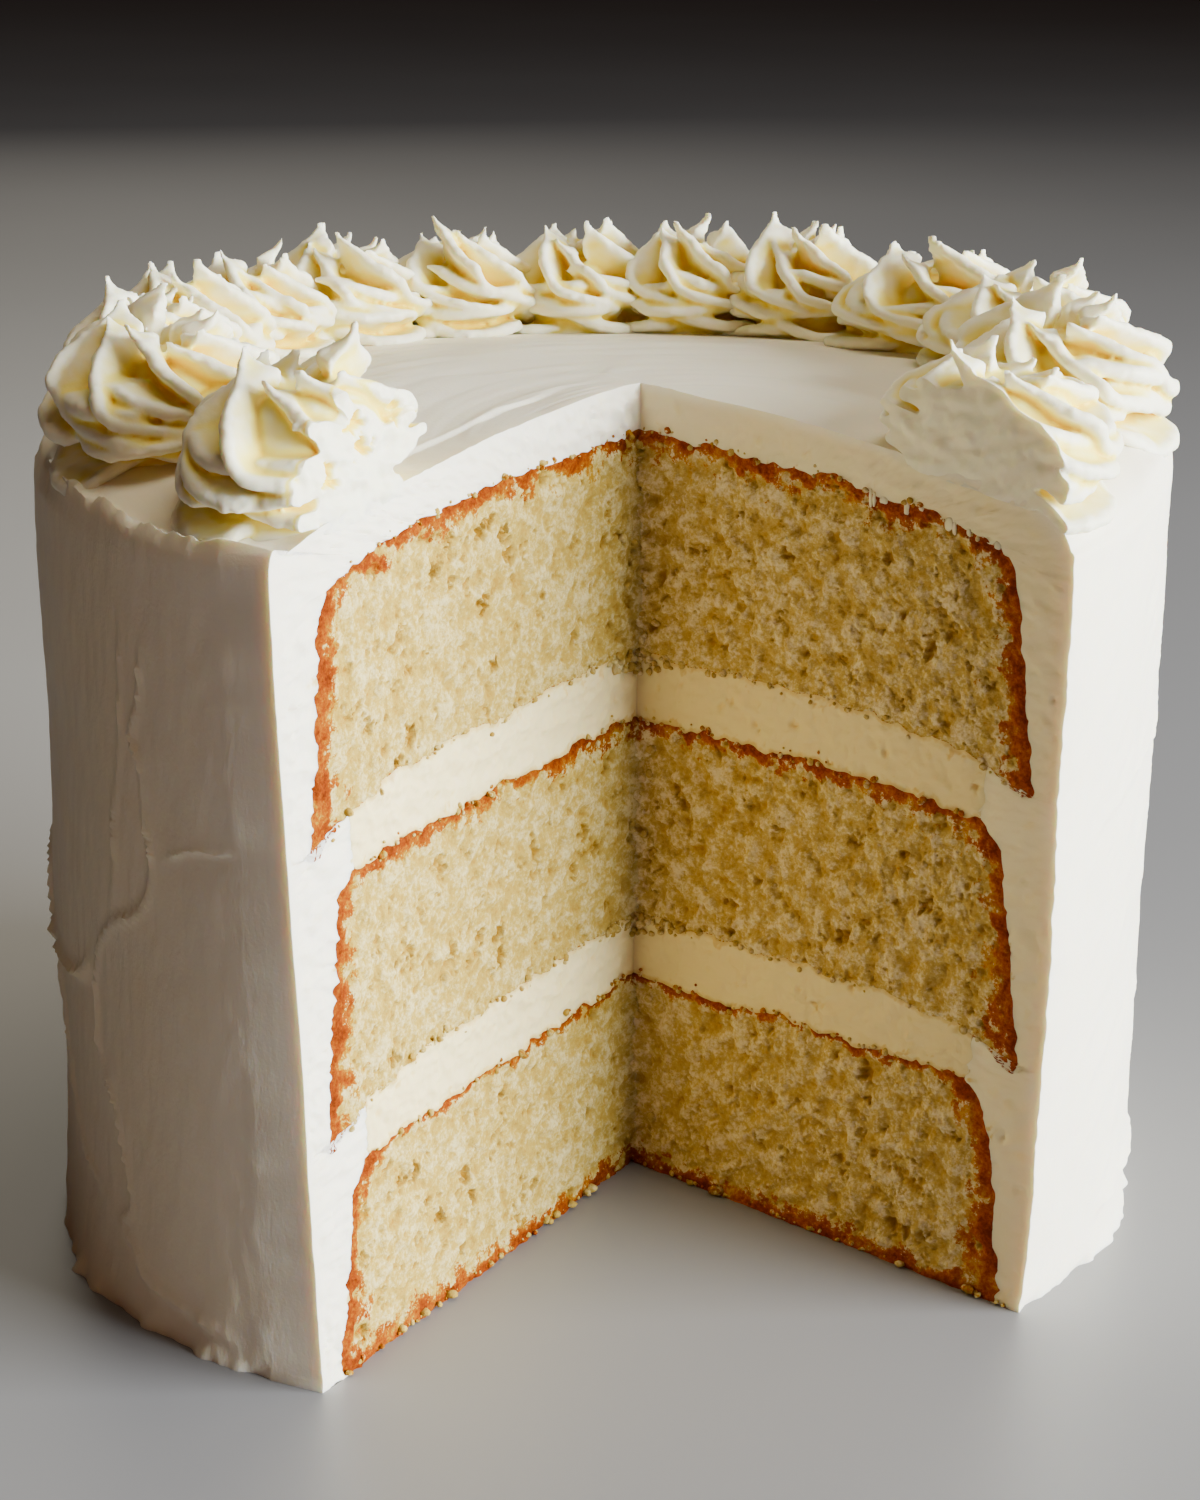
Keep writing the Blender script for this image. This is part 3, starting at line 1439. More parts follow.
@dataclass
class Coat:
    """The buttercream on the top and the side, with its cut edge, spatula strokes and ragged foot."""

    node: str = "frosting_coat"
    pitch: float = 0.46
    across: int = 15
    seed: int = 5
    slant: float = 38.0
    rim_corner: Pair = (84.0, 114.0)
    strings: int = 9
    ledge: float = 7.0
    ledge_depth: float = 0.45
    clear: float = 0.004
    strokes: tuple[Stroke, ...] = (
        Stroke(
            ((-45.2, 101.0), (-46.0, 92.0), (-47.4, 86.5), (-46.1, 83.0), (-45.6, 75.5), (-44.9, 70.0),
             (-45.8, 64.7), (-48.3, 61.0), (-51.8, 58.6), (-54.6, 55.0), (-56.3, 51.5), (-57.3, 46.0),
             (-57.1, 41.5), (-56.6, 36.0), (-53.6, 30.0), (-51.9, 22.5), (-50.7, 17.0), (-51.5, 14.5),
             (-54.1, 12.3)),
            0.70, 0.55, 0.20,
        ),
        Stroke(
            ((-54.1, 12.3), (-50.1, 10.2), (-48.2, 7.0), (-44.1, 5.7), (-39.3, 4.6), (-35.0, 3.7)),
            0.60, 0.8, 0.20,
        ),
        Stroke(
            ((-48.6, 104.0), (-49.2, 92.0), (-49.5, 82.3), (-51.2, 73.2), (-51.2, 67.5), (-53.0, 58.6)),
            0.40, 0.6, 0.15,
        ),
        Stroke(
            ((-74.0, 50.0), (-72.0, 40.0), (-68.9, 31.0), (-65.6, 22.8), (-61.8, 17.7), (-57.0, 14.5)),
            0.65, 0.8, 0.25,
        ),
        Stroke(((-43.8, 69.5), (-41.4, 72.0), (-38.2, 73.8), (-35.3, 74.2), (-32.5, 75.8)), 0.22, 0.55, 0.22),
        Stroke(
            ((-80.0, 60.0), (-77.0, 54.0), (-74.5, 46.5), (-67.0, 45.0), (-61.4, 45.6), (-58.0, 50.2)),
            1.0, 0.9, 0.45,
        ),
        Stroke(((62.0, 7.5), (70.0, 9.0), (79.0, 9.5), (88.0, 9.0), (100.0, 10.0)), 0.8, 1.2, 0.35),
        Stroke(((56.0, 70.0), (75.0, 76.0), (95.0, 79.0), (120.0, 78.0)), 0.25, 1.2, 0.15),
        Stroke(((120.0, 40.0), (150.0, 52.0), (185.0, 50.0), (215.0, 58.0)), 0.4, 1.6, 0.25),
        Stroke(((140.0, 92.0), (170.0, 84.0), (205.0, 90.0), (240.0, 86.0)), 0.35, 1.5, 0.2),
        Stroke(((222.0, 20.0), (227.0, 45.0), (224.0, 70.0), (230.0, 92.0)), 0.5, 1.6, 0.2),
    )

    def outer_curve(self) -> Array:
        """The even outside, (radius, height) from the middle of the top out and down to the table."""
        form = FORM
        rim = form.rim_height
        knots = [(0.0, form.height), (30.0, form.height - 0.7), (50.0, form.height - 2.0)]
        knots += [(65.0, form.height - 3.0), (73.0, rim + 1.0), (77.0, rim)]
        knots += [(form.radius - 2.4, rim - 1.9), (form.radius - 0.8, rim - 5.0)]
        return smooth_curve([*knots, *((form.radius, level) for level in (rim - 11.0, 62.0, 14.0, 0.0))])

    def crisp(self, curve: Array) -> Array:
        """The same points where the rim was left square instead of rounded.

        Args:
            curve: even outside with the round rim.

        Returns:
            One row for each row of the curve.
        """
        form = FORM
        rim = form.rim_height
        inner_radius, lowest = 72.0, 108.0
        bend = (curve[:, 0] > inner_radius) & (curve[:, 1] > lowest)
        knots = [curve[bend][0], (77.0, rim + 0.1), (form.radius - 1.0, rim - 0.5)]
        knots += [(form.radius - 0.15, rim - 1.2), (form.radius + 0.05, rim - 2.6), (form.radius, rim - 6.0)]
        made = curve.copy()
        made[bend] = evenly(smooth_curve([*knots, curve[bend][-1]]), int(bend.sum()) - 1)
        return made

    def wall_relief(self, azimuth: Array, z: Array) -> Array:
        """How far the side stands out from the even shape.

        Args:
            azimuth: directions of the points.
            z: their heights.

        Returns:
            One number for each point.
        """
        turn = np.radians(azimuth)
        radius = FORM.radius
        spots = np.stack([radius * np.sin(turn), -radius * np.cos(turn), z], axis=-1).reshape(-1, 3)
        one, two = Noise(self.seed), Noise(self.seed + 1)
        wide = 0.34 * one.at(spots, (16.0, 16.0, 26.0)) + 0.16 * two.at(spots, (7.0, 7.0, 16.0))
        fine = 0.07 * one.at(spots + 40.0, (3.0, 3.0, 7.0)) + 0.05 * two.at(spots + 90.0, 2.0)
        up, around = spots[:, 2], PER_DEGREE * azimuth.reshape(-1)
        foot = 0.8 * np.exp(-up / 2.2) * (0.4 + two.at(spots, 4.0) + 0.5 * one.at(spots, 1.8))
        c, s = math.cos(math.radians(self.slant)), math.sin(math.radians(self.slant))
        slanting = np.stack([around * c + up * s, up * c - around * s, 0 * up], axis=-1)
        wiped = 0.17 * one.at(slanting, (6.0, 1.6, 1.0)) + 0.10 * two.at(slanting, (3.5, 1.0, 1.0))
        dashed = 0.10 * two.at(spots + 15.0, (1.1, 1.1, 3.6))
        right = ramp(np.sin(turn).reshape(-1), -0.25, 0.25)
        made = (wide + fine + foot + right * wiped + (1 - right) * dashed).reshape(z.shape)
        unwrapped = np.where(azimuth < -100.0, azimuth + 360.0, azimuth)
        for stroke in self.strokes:
            made = made + np.maximum(stroke.relief(azimuth, z), stroke.relief(unwrapped, z))
        return made

    def top_relief(self, x: Array, y: Array) -> Array:
        """Height of the spatula marks on the top.

        Args:
            x: places to the right.
            y: places to the back.

        Returns:
            One number for each place.
        """
        spots = np.stack([x, y, np.zeros(x.shape)], axis=-1).reshape(-1, 3)
        radius = np.hypot(spots[:, 0] - 14.0, spots[:, 1] + 34.0)
        sweep = np.degrees(np.arctan2(spots[:, 1], spots[:, 0]))
        swirl = np.stack([radius, 0.12 * sweep, np.zeros(len(radius))], axis=1)
        made = 0.18 * Noise(self.seed + 2).at(swirl, (3.2, 4.0, 1.0))
        made = made + 0.07 * Noise(self.seed + 3).at(swirl, (0.9, 3.0, 1.0))
        made = made + 0.22 * Noise(self.seed + 4).at(spots, 14.0)
        heading = np.array(FORM.direction(Cut.LEFT.value, FORM.height))
        offset = spots[:, :2] - np.array(FORM.apex)
        down = offset @ heading
        away = offset @ np.array([heading[1], -heading[0]])
        away = away + 0.5 * Noise(self.seed + 8).at(spots, 5.0)
        share = ramp(down, 4.0, 20.0) * (away > -1.0)
        slope = np.clip(away / self.ledge, 0, 1) ** 1.4
        dip = np.where(away < self.ledge, slope, np.exp(-(away - self.ledge) / 0.25))
        crest = 0.14 * np.exp(-(((away - self.ledge - 0.6) / 0.5) ** 2))
        return (made + share * (crest - self.ledge_depth * dip)).reshape(x.shape)

    def rings(self) -> Array:
        """Planes through the apex line for the rings of the outside, closer where more detail shows."""
        stops = (-33.0, -60.0, -92.0, -120.0, -235.0, -262.0, -309.5)
        steps = (0.42, 0.38, 0.8, 1.0, 0.8, 0.6)
        spans = [
            np.linspace(start, end, int(abs(end - start) / step), endpoint=False)
            for start, end, step in zip(stops, stops[1:], steps)
        ]
        turns = FORM.turn_of(np.concatenate([*spans, stops[-1:]]))
        return turns[(turns > self.clear) & (turns < 1 - self.clear)]

    def outside(self, turns: Array, curve: Array) -> Array:
        """The outer boundary on upright planes.

        Args:
            turns: the planes.
            curve: even outside, one row for each point round the section.

        Returns:
            (plane, point, distance and height).
        """
        planes = turns[:, None]
        corner = FORM.place(turns, *(np.full(turns.shape, value) for value in self.rim_corner))
        heading = azimuth_of(corner[:, 0], corner[:, 1])
        square = (bell(heading, -38.0, 27.0) + 0.45 * bell(heading, 100.0, 30.0))[:, None]
        radius, height = (
            rounded[None] * (1 - square) + crisp[None] * square
            for rounded, crisp in zip(curve.T, self.crisp(curve).T)
        )
        along, level = FORM.on_side(planes, np.maximum(radius, 12.0), height)
        flat = curve[:, 0] < 60.0
        edge = np.nonzero(~flat)[0][0]
        along[:, flat] = (curve[flat, 0] / curve[edge, 0])[None] * along[:, edge][:, None]
        level[:, flat] = FORM.on_flat(planes, along[:, flat], curve)
        x, y = FORM.reached(planes, along, level)
        wall = ramp(radius, 79.5, 81.9)
        along = along + wall * self.wall_relief(azimuth_of(x, y), level)
        level = level + (1 - wall) * self.top_relief(x, y)
        spots = np.stack([x, y, 0 * x], -1).reshape(-1, 3)
        torn = 0.9 + 0.5 * Noise(self.seed + 6).at(spots, 2.6) + 0.3 * Noise(self.seed + 7).at(spots, 1.2)
        lip = 1.5 * np.exp(-(((radius - 80.9) / 0.95) ** 2)) * ramp(height, 110.0, 114.0)
        level = level + np.maximum(lip * torn.reshape(x.shape), 0.0) * np.clip(square * 1.6 + 0.15, 0, 1)
        return np.stack([along, np.maximum(level, 0.0)], axis=-1)

    def sections(self) -> tuple[Array, Array]:
        """Matched points of the inside and the outside of the even coat, from the middle out and down.

        Returns:
            Inner and outer (radius, height) rows of the same length.
        """
        form = FORM
        bottom, middle, top = Outline.sponges()
        outer = self.outer_curve()
        fill = form.filling_radius

        def gap(above: Outline, below: Outline) -> list[Array]:
            """Inner curve past the end of a filling: under one sponge, down, and out over the next."""
            under = above.bottom[above.bottom[:, 0] >= fill][::-1]
            over = below.top[below.top[:, 0] >= fill - 0.7]
            return [under, np.array([under[-1], (fill, 0.5 * (under[-1, 1] + over[0, 1])), over[0]])]

        parts: list[tuple[Array, float]] = [(top.top, form.rim_height - 7.5), (top.side, 77.5)]
        parts += [(piece, level) for piece, level in zip(gap(top, middle), (75.8, 73.4))]
        parts += [(middle.side, 36.0)]
        parts += [(piece, level) for piece, level in zip(gap(middle, bottom), (34.4, 32.2))]
        parts += [(bottom.side, 0.0)]
        inside, outside = [], []
        start = 0
        for curve, level in parts:
            off_wall = 100 * (outer[:, 0] < 60)
            end = int(np.argmin(np.abs(outer[:, 1] - level) + off_wall)) if level else -1
            reach = outer[start : end + 1 or None]
            lengths = [np.linalg.norm(np.diff(line, axis=0), axis=1).sum() for line in (curve, reach)]
            count = 2 * max(2, round(max(lengths) / self.pitch / 2))
            inside.append(evenly(curve, count)[:-1])
            outside.append(evenly(reach, count)[:-1])
            start = end
        inside.append(bottom.side[-1:])
        outside.append(outer[-1:])
        return np.vstack(inside), np.vstack(outside)

    def inside(self, turns: Array, curve: Array) -> Array:
        """The inner boundary on upright planes.

        Args:
            turns: the planes.
            curve: even inside, one row for each point round the section.

        Returns:
            (plane, point, distance and height).
        """
        planes = turns[:, None]
        along, level = FORM.on_side(planes, np.maximum(curve[None, :, 0], 12.0), curve[None, :, 1])
        crown = int(np.argmax(curve[:, 0] >= FORM.sponge_crown - 0.01))
        flat = np.arange(len(curve)) < crown
        reach = along[:, crown][:, None]
        along[:, flat] = curve[flat, 0][None] / curve[crown, 0] * reach
        level[:, flat] = FORM.on_flat(planes, along[:, flat], curve[: crown + 1])
        along, level = FORM.roughen(np.broadcast_to(planes, level.shape), along, level)
        return np.stack([along, np.maximum(level, 0.0)], axis=-1)

    def relief(self, cut: Cut, along: Array, z: Array) -> tuple[Array, Painted]:
        """Relief and painted values of the cut edge of the coat.

        Args:
            cut: the face.
            along: distances from the apex.
            z: heights.

        Returns:
            The height out of the face, and the painted values.
        """
        speck = CREAM_CHARTS[cut].crumbs(along, z)
        near = np.exp(-np.linspace(0, 6.0, len(z)))[:, None]
        calm = 1 - ramp(np.linspace(0, 1, len(z)), 0.72, 1.0)[:, None]
        height = CREAM_CHARTS[cut].height(along, z) * calm
        warmth = 0.30 if cut is Cut.RIGHT else 0.0
        return height, {"speck": speck * near, "fold": warmth * calm + 0.15 * speck}

    def build(self, sheet: NodeSheet) -> Thing:
        """Make the coat in place of its plain solid.

        Args:
            sheet: its material.

        Returns:
            The finished piece.
        """
        inner, outer = self.sections()
        share = np.linspace(0, 1, self.across + 1)[:, None, None]
        grids = {}
        for cut in Cut:
            plane = np.array([cut.value])
            grids[cut] = (1 - share) * self.inside(plane, inner) + share * self.outside(plane, outer)
        made, one, two = both_faces(grids, self.relief)
        self.skin(made, one, two, inner, outer)
        self.draw_strings(made, self.inside(np.array([Cut.RIGHT.value]), inner)[0])
        return sheet.hand_in(made.object(self.node + "_spread", 50.0), self.node)

    def draw_strings(self, made: Solid, border: Array) -> None:
        """Draw thin strings of cream over the crust of the right cut, as the knife dragged them.

        Args:
            made: the solid that is being built.
            border: (distance, height) down the border of the coat in that cut.
        """
        dice = np.random.default_rng(41)
        facing = 360.0 - 90.0 + FORM.right
        upper = border[(border[:, 0] > 40.0) & (border[:, 1] > 105.0)]
        for k in range(self.strings):
            t, z = upper[int((1 - dice.random() ** 1.6) * (len(upper) - 1))]
            length = 0.35 + 1.2 * dice.random() ** 2
            size = (dice.uniform(0.25, 0.80), 0.2, length)
            middle = on_face(Cut.RIGHT, np.array([t]), np.array([z - 0.45 * length]), [0.0])[0]
            made.lump(middle, size, facing, 400 + k, rows=8, fold=0.3)

    def skin(self, made: Solid, one: Array, two: Array, inner: Array, outer: Array) -> None:
        """Join the two cut edges by the outside, the inside and the foot.

        Args:
            made: the solid that is being built.
            one: point numbers of the left cut edge.
            two: point numbers of the right cut edge.
            inner: even inside.
            outer: even outside.
        """
        turns = self.rings()
        where = FORM.spread(turns, self.outside(turns, outer[::2]))[:, 1:]
        brushed = np.where(outer[2::2, 1] < FORM.rim_height - 3.0, 1.0, 0.35) + 0 * where[..., 0]
        shady = 0.18 * brushed * ramp(-where[..., 0], 20.0, 50.0) * ramp(turns, 0.0, 0.08)[:, None]
        rows = made.add(where, outside=brushed, fold=shady)
        rows = np.concatenate([np.full((len(rows), 1), one[-1, 0]), rows], axis=1)
        made.strip(one[-1], rows[0])
        made.grid(rows, flip=True)
        made.strip(two[-1], rows[-1], flip=True)
        few = turns[::GROUP]
        back = made.add(FORM.spread(few, self.inside(few, inner[::GROUP]))[:, 1:])
        back = np.concatenate([np.full((len(back), 1), one[0, 0]), back], axis=1)
        made.strip(one[0], back[0], flip=True)
        made.grid(back)
        made.strip(two[0], back[-1])
        foot_out = np.concatenate([one[-1:, -1], rows[:, -1], two[-1:, -1]])
        foot_in = np.concatenate([one[:1, -1], back[:, -1], two[:1, -1]])
        made.strip(foot_out, foot_in)
        made.faces.append(fan_of(one[:, -1]))
        made.faces.append(fan_of(two[:, -1])[:, ::-1])


def joined(name: str, solids: list[Solid]) -> Thing:
    """One object of several closed bodies that reach into each other."""
    whole = Solid()
    for part in solids:
        numbers = whole.add(np.concatenate(part.points))
        whole.faces += [numbers[block] for block in part.faces]
    return whole.object(name)


def applied(piece: Thing, *steps: tuple[str, dict[str, Any]]) -> None:
    """Replace a piece's mesh by the result of modifiers, each given by its kind and settings."""
    for kind, settings in steps:
        step = piece.modifiers.new(kind, kind)
        for name, value in settings.items():
            setattr(step, name, value)
    graph = bpy.context.evaluated_depsgraph_get()
    graph.update()
    made = bpy.data.meshes.new_from_object(piece.evaluated_get(graph))
    piece.modifiers.clear()
    old, piece.data = piece.data, made
    bpy.data.meshes.remove(old)
    made.name = piece.name


def vectors(mesh: Mesh, kind: str) -> Array:
    """What a mesh stores at its points, "co" or "normal", one row each."""
    flat = np.zeros(len(mesh.vertices) * 3, np.float32)
    mesh.vertices.foreach_get(kind, flat)
    return flat.reshape(-1, 3).astype(float)


def coordinates(mesh: Mesh) -> Array:
    """Positions of a mesh's points in millimetres."""
    return vectors(mesh, "co") / MM


def moved(mesh: Mesh, points: Array) -> None:
    """Give a mesh new positions, in millimetres."""
    mesh.vertices.foreach_set("co", (points * MM).astype(np.float32).ravel())
    mesh.update()


def hollowness(mesh: Mesh, rounds: int) -> Array:
    """How deep in a fold each point of a mesh lies.

    Args:
        mesh: the mesh.
        rounds: how many times its points are averaged with their neighbours.

    Returns:
        The distance from the point to the averaged surface, above 0 in a hollow, in millimetres.
    """
    edges = np.zeros(len(mesh.edges) * 2, np.int32)
    mesh.edges.foreach_get("vertices", edges)
    a, b = edges.reshape(-1, 2).T
    points = coordinates(mesh)
    count = np.bincount(a, minlength=len(points)) + np.bincount(b, minlength=len(points))
    soft = points.copy()
    for _ in range(rounds):
        columns = [np.bincount(a, x[b], len(x)) + np.bincount(b, x[a], len(x)) for x in soft.T]
        soft = np.stack(columns, axis=1) / np.maximum(count, 1)[:, None]
    return np.einsum("ij,ij->i", soft - points, vectors(mesh, "normal"))


@dataclass
class Swirl:
    """One swirl from a large star nozzle: fins run round its foot and rise into a crown of petals."""

    number: int
    azimuth: float
    reach: float
    height: float
    ring: float = 65.3
    fins: int = 8
    twist: float = 2.5
    frills: int = 3
    frill_rows: int = 3
    frill_pitch: float = 0.175
    start: float = 0.0
    voxel: float = 0.42
    cut: Cut | None = None

    def core(self) -> Solid:
        """The solid middle that all the fins grow from.

        Returns:
            A closed dome.
        """
        shape = [(0.01, -1.0), (0.60, -1.0), (0.62, 0.10), (0.58, 0.30), (0.50, 0.46)]
        shape += [(0.38, 0.58), (0.18, 0.62), (0.01, 0.55)]
        full = 1.0 if self.cut is None else 1.16
        scale = np.array([self.reach, self.height]) * full
        curve = smooth_curve([(r * scale[0], z * scale[1] if z > 0 else z) for r, z in shape], 0.8)
        made = Solid()
        made.tube(on_rings(curve[:, :1], np.linspace(0, 2 * math.pi, 36, endpoint=False), curve[:, 1:]))
        return made

    def blade(self, near: Array, far: Array, root: Array, edge: Array) -> Solid:
        """A closed curved blade with a rounded free edge.

        Args:
            near: points along its root.
            far: points along its free edge.
            root: half its thickness along the root.
            edge: half its thickness along the free edge.

        Returns:
            The blade.
        """
        ahead = np.gradient(far, axis=0)
        ahead /= np.linalg.norm(ahead, axis=1)[:, None]
        across = far - near
        width = np.linalg.norm(across, axis=1)[:, None]
        across /= width
        over = np.cross(across, ahead)
        over /= np.maximum(np.linalg.norm(over, axis=1)[:, None], 1e-6)
        root, edge = root[:, None], edge[:, None]
        reach = width - edge
        places = (0.0, 0.35, 0.7)
        sides = [(across * reach * place, over * (root + (edge - root) * place)) for place in places]
        rows = [near + out + aside for out, aside in sides]
        for angle in np.radians(np.linspace(90.0, -90.0, 7)):
            rows.append(near + across * (reach + edge * math.cos(angle)) + over * edge * math.sin(angle))
        rows += [near + out - aside for out, aside in sides[::-1]]
        made = Solid()
        made.tube(np.stack(rows, axis=1), flip=True)
        return made

    def petal(self, which: int, dice: np.random.Generator) -> Solid:
        """One fin that winds up the swirl and ends in the tip of a petal.

        Args:
            which: number of the fin round the swirl.
            dice: random numbers.

        Returns:
            A closed curved blade.
        """
        s = np.linspace(0.0, 1.0, 70)
        tall = self.height * (dice.uniform(0.80, 1.0) if which else 1.03)
        phase = math.radians(self.start) + 2 * math.pi * which / self.fins + dice.uniform(-0.12, 0.12)
        sway = dice.uniform(0, 6.3)
        low = 0.24 * self.height
        climb = low + (tall - low) * (0.50 * s + 0.50 * s**2.6)
        turn = phase + self.twist * (1 - s) ** 1.3
        swell = 1 + 0.08 * np.sin(10.0 * s + sway) * (1 - s)
        closing = 1 - 0.54 * ramp(s, 0.58, 1.0)
        outer = self.reach * swell * closing * (0.78 + 0.20 * ramp(s, 0.0, 0.18))
        tip = ramp(s, 0.84, 1.0)
        inner = np.minimum(self.reach * (0.42 - 0.24 * ramp(s, 0.4, 0.85)), outer - 1.0)
        inner = inner * (1 - tip) + (outer - 0.35) * tip
        lift = self.reach * 0.14 * (1 - ramp(s, 0.3, 0.8))
        lift = lift + 0.9 * np.sin(9.0 * s + 1.7 * sway) * (1 - s)
        lean = 0.45 * ramp(s, 0.35, 0.7) * (1 - 0.6 * tip)
        near = on_rings(inner, turn, climb - lift - 1.1 * tip * (1 - tip))
        far = on_rings(outer, turn + lean, climb)
        return self.blade(near, far, 1.3 - 1.1 * tip, 0.80 - 0.55 * ramp(s, 0.82, 1.0))

    def frill(self, level: int, which: int, dice: np.random.Generator) -> Solid:
        """One lying ruffle of the foot, which curls up into the ruffle above at one end.

        Args:
            level: number of its row, from 0 at the foot.
            which: number of the ruffle in its row.
            dice: random numbers.

        Returns:
            A closed curved blade.
        """
        s = np.linspace(0.0, 1.0, 60)
        span = 2 * math.pi / self.frills * dice.uniform(1.05, 1.35)
        start = 2 * math.pi * which / self.frills + 1.3 * level + dice.uniform(-0.35, 0.35)
        sway, pitch = dice.uniform(0, 6.3), self.frill_pitch * self.height
        turn = start + span * s
        curl = ramp(1 - s, 0.62, 1.0)
        climb = 1.15 + pitch * (level + 0.95 * curl) + 0.55 * np.sin(6.0 * s + sway)
        ends = 1 - 0.16 * curl - 0.30 * ramp(s, 0.80, 1.0)
        outer = self.reach * (1.0 - 0.05 * level) * ends * (1 + 0.07 * np.sin(8.0 * s + 2.0 * sway))
        inner = np.full(len(s), 0.40 * self.reach)
        thin = 0.95 * (0.45 + 0.55 * ramp(s, 0.0, 0.12) * ramp(1 - s, 0.0, 0.12))
        lean = -0.25 * curl
        near = on_rings(inner, turn, climb - 0.6)
        far = on_rings(outer, turn + lean, climb + 0.5)
        return self.blade(near, far, 1.25 * thin, thin)

    def build(self, sheet: NodeSheet) -> Thing:
        """Pipe the swirl on the rim in place of its plain solid.

        Args:
            sheet: its material.

        Returns:
            The finished piece.
        """
        dice = np.random.default_rng(900 + self.number)
        name = f"swirl_{self.number:02d}"
        parts = [self.core(), *(self.petal(which, dice) for which in range(self.fins))]
        parts += [self.frill(*place, dice) for place in np.ndindex(self.frill_rows, self.frills)]
        piece = joined(name, parts)
        points = coordinates(piece.data)
        around = math.radians(self.azimuth)
        surface = Coat().outer_curve()
        points[:, :2] += np.array([self.ring * math.sin(around), -self.ring * math.cos(around)])
        radius = np.minimum(np.hypot(points[:, 0], points[:, 1]), 80.0)
        under, level = (np.interp(place, surface[:, 0], surface[:, 1]) for place in (radius, self.ring))
        high = ramp(points[:, 2], 0.0, 0.7 * self.height)
        points[:, 2] += level * high + under * (1 - high) - 0.5
        moved(piece.data, FORM.settled(points))
        applied(
            piece,
            ("REMESH", {"mode": "VOXEL", "voxel_size": self.voxel * MM}),
            ("SMOOTH", {"iterations": 3, "factor": 0.5}),
        )
        self.ruffle(piece)
        if self.cut is not None:
            self.slice(piece)
        fold = np.clip(0.27 + hollowness(piece.data, 14) / 0.50, 0.0, 1.0)
        if self.cut is not None:
            fold = self.cut_fold(coordinates(piece.data), fold)
        layer = piece.data.attributes.new("fold", "FLOAT", "POINT")
        layer.data.foreach_set("value", fold.astype(np.float32))
        piece.data.polygons.foreach_set("use_smooth", np.ones(len(piece.data.polygons), bool))
        piece.data.set_sharp_from_angle(angle=math.radians(65.0))
        return sheet.hand_in(piece, f"rosette_{self.number:02d}")

    def ruffle(self, piece: Thing) -> None:
        """Tear the crests of the fins a little, as stiff buttercream does."""
        mesh = piece.data
        points, out = coordinates(mesh), vectors(mesh, "normal")
        crest = np.clip(-hollowness(mesh, 6) / 0.45, 0.0, 1.0)
        noise = Noise(60 + self.number)
        torn = 0.40 * noise.at(points, 1.1) + 0.30 * noise.at(points + 50.0, 2.6)
        swell = 0.12 * noise.at(points + 20.0, 4.0)
        moved(mesh, points + out * (torn * (0.12 + crest) + swell)[:, None])

    def cut_fold(self, points: Array, fold: Array) -> Array:
        """Even colour on the cut face, but for the bubbles in it.

        Args:
            points: positions of the swirl's points.
            fold: how deep in a fold each lies.

        Returns:
            The corrected folds.
        """
        dx, dy = FORM.direction(np.full(len(points), self.cut.value), points[:, 2])
        sign = 1.0 if self.cut is Cut.LEFT else -1.0
        beyond = sign * ((points[:, 0] - FORM.apex[0]) * -dy + (points[:, 1] - FORM.apex[1]) * dx)
        on_cut = 1 - ramp(-beyond, 0.45, 0.9)
        return fold * (1 - on_cut) + 0.8 * ramp(-beyond, 0.25, 0.7) * on_cut * (self.cut is Cut.LEFT)

    def slice(self, piece: Thing) -> None:
        """Cut the swirl off along the face that the knife left."""
        across = np.linspace(30.0, 96.0, 189)
        up = np.linspace(100.0, 150.0, 143)
        t, z = np.meshgrid(across, up)
        chart = ReliefMap(100.0, 150.0, 77 + self.number)
        relief = chart.rolling((0.17, 4.5, 3.0), (0.09, 1.8, 1.6))
        if self.cut is Cut.LEFT:
            relief = relief - chart.torn(chart.pores(60, 0.7, 1.7, 2.0, 1.1), 0.5, 2.0)
        else:
            relief = 0.7 * relief
        slab = Solid()
        a = slab.add(on_face(self.cut, t, z, chart.read(t, z, relief) + 0.12))
        b = slab.add(on_face(self.cut, t, z, np.full(t.shape, 40.0)))
        slab.grid(a)
        slab.grid(b, flip=True)
        for first, second in ((a[0], b[0]), (b[-1], a[-1]), (b[:, 0], a[:, 0]), (a[:, -1], b[:, -1])):
            slab.grid(np.stack([first, second]))
        knife = slab.object("knife")
        applied(piece, ("BOOLEAN", {"operation": "DIFFERENCE", "solver": "MANIFOLD", "object": knife}))
        bpy.data.objects.remove(knife)


def swirls() -> list[Swirl]:
    """All the swirls round the rim, from the left cut round the back to the right cut."""
    azimuths = (-36, -65, -87, -105, -122, -140, -158, -176, -193, -210, -233, -257, -281, -306)
    heights = (23, 19.5, 17, 17.5, 18, 19, 20.5, 20, 20, 20.5, 18.5, 16.5, 17.5, 18)
    made = []
    for index, (azimuth, height) in enumerate(zip(azimuths, heights)):
        gaps = [abs(azimuths[k] - azimuth) for k in (index - 1, index + 1) if 0 <= k < len(azimuths)]
        reach = Swirl.ring * math.sin(math.radians(min(*gaps, 28.0) / 2)) if len(gaps) > 1 else 15.5
        overlap, widest = 1.34, 16.4
        reach = min(reach * overlap, widest)
        made.append(Swirl(index + 1, azimuth, reach, height, start=97.0 * index))
    made[0].cut, made[0].ring, made[0].reach = Cut.LEFT, 64.6, 15.6
    made[-1].cut = Cut.RIGHT
    made[0].voxel = made[-1].voxel = 0.36
    return made


# ---------------------------------------------------------------- studio


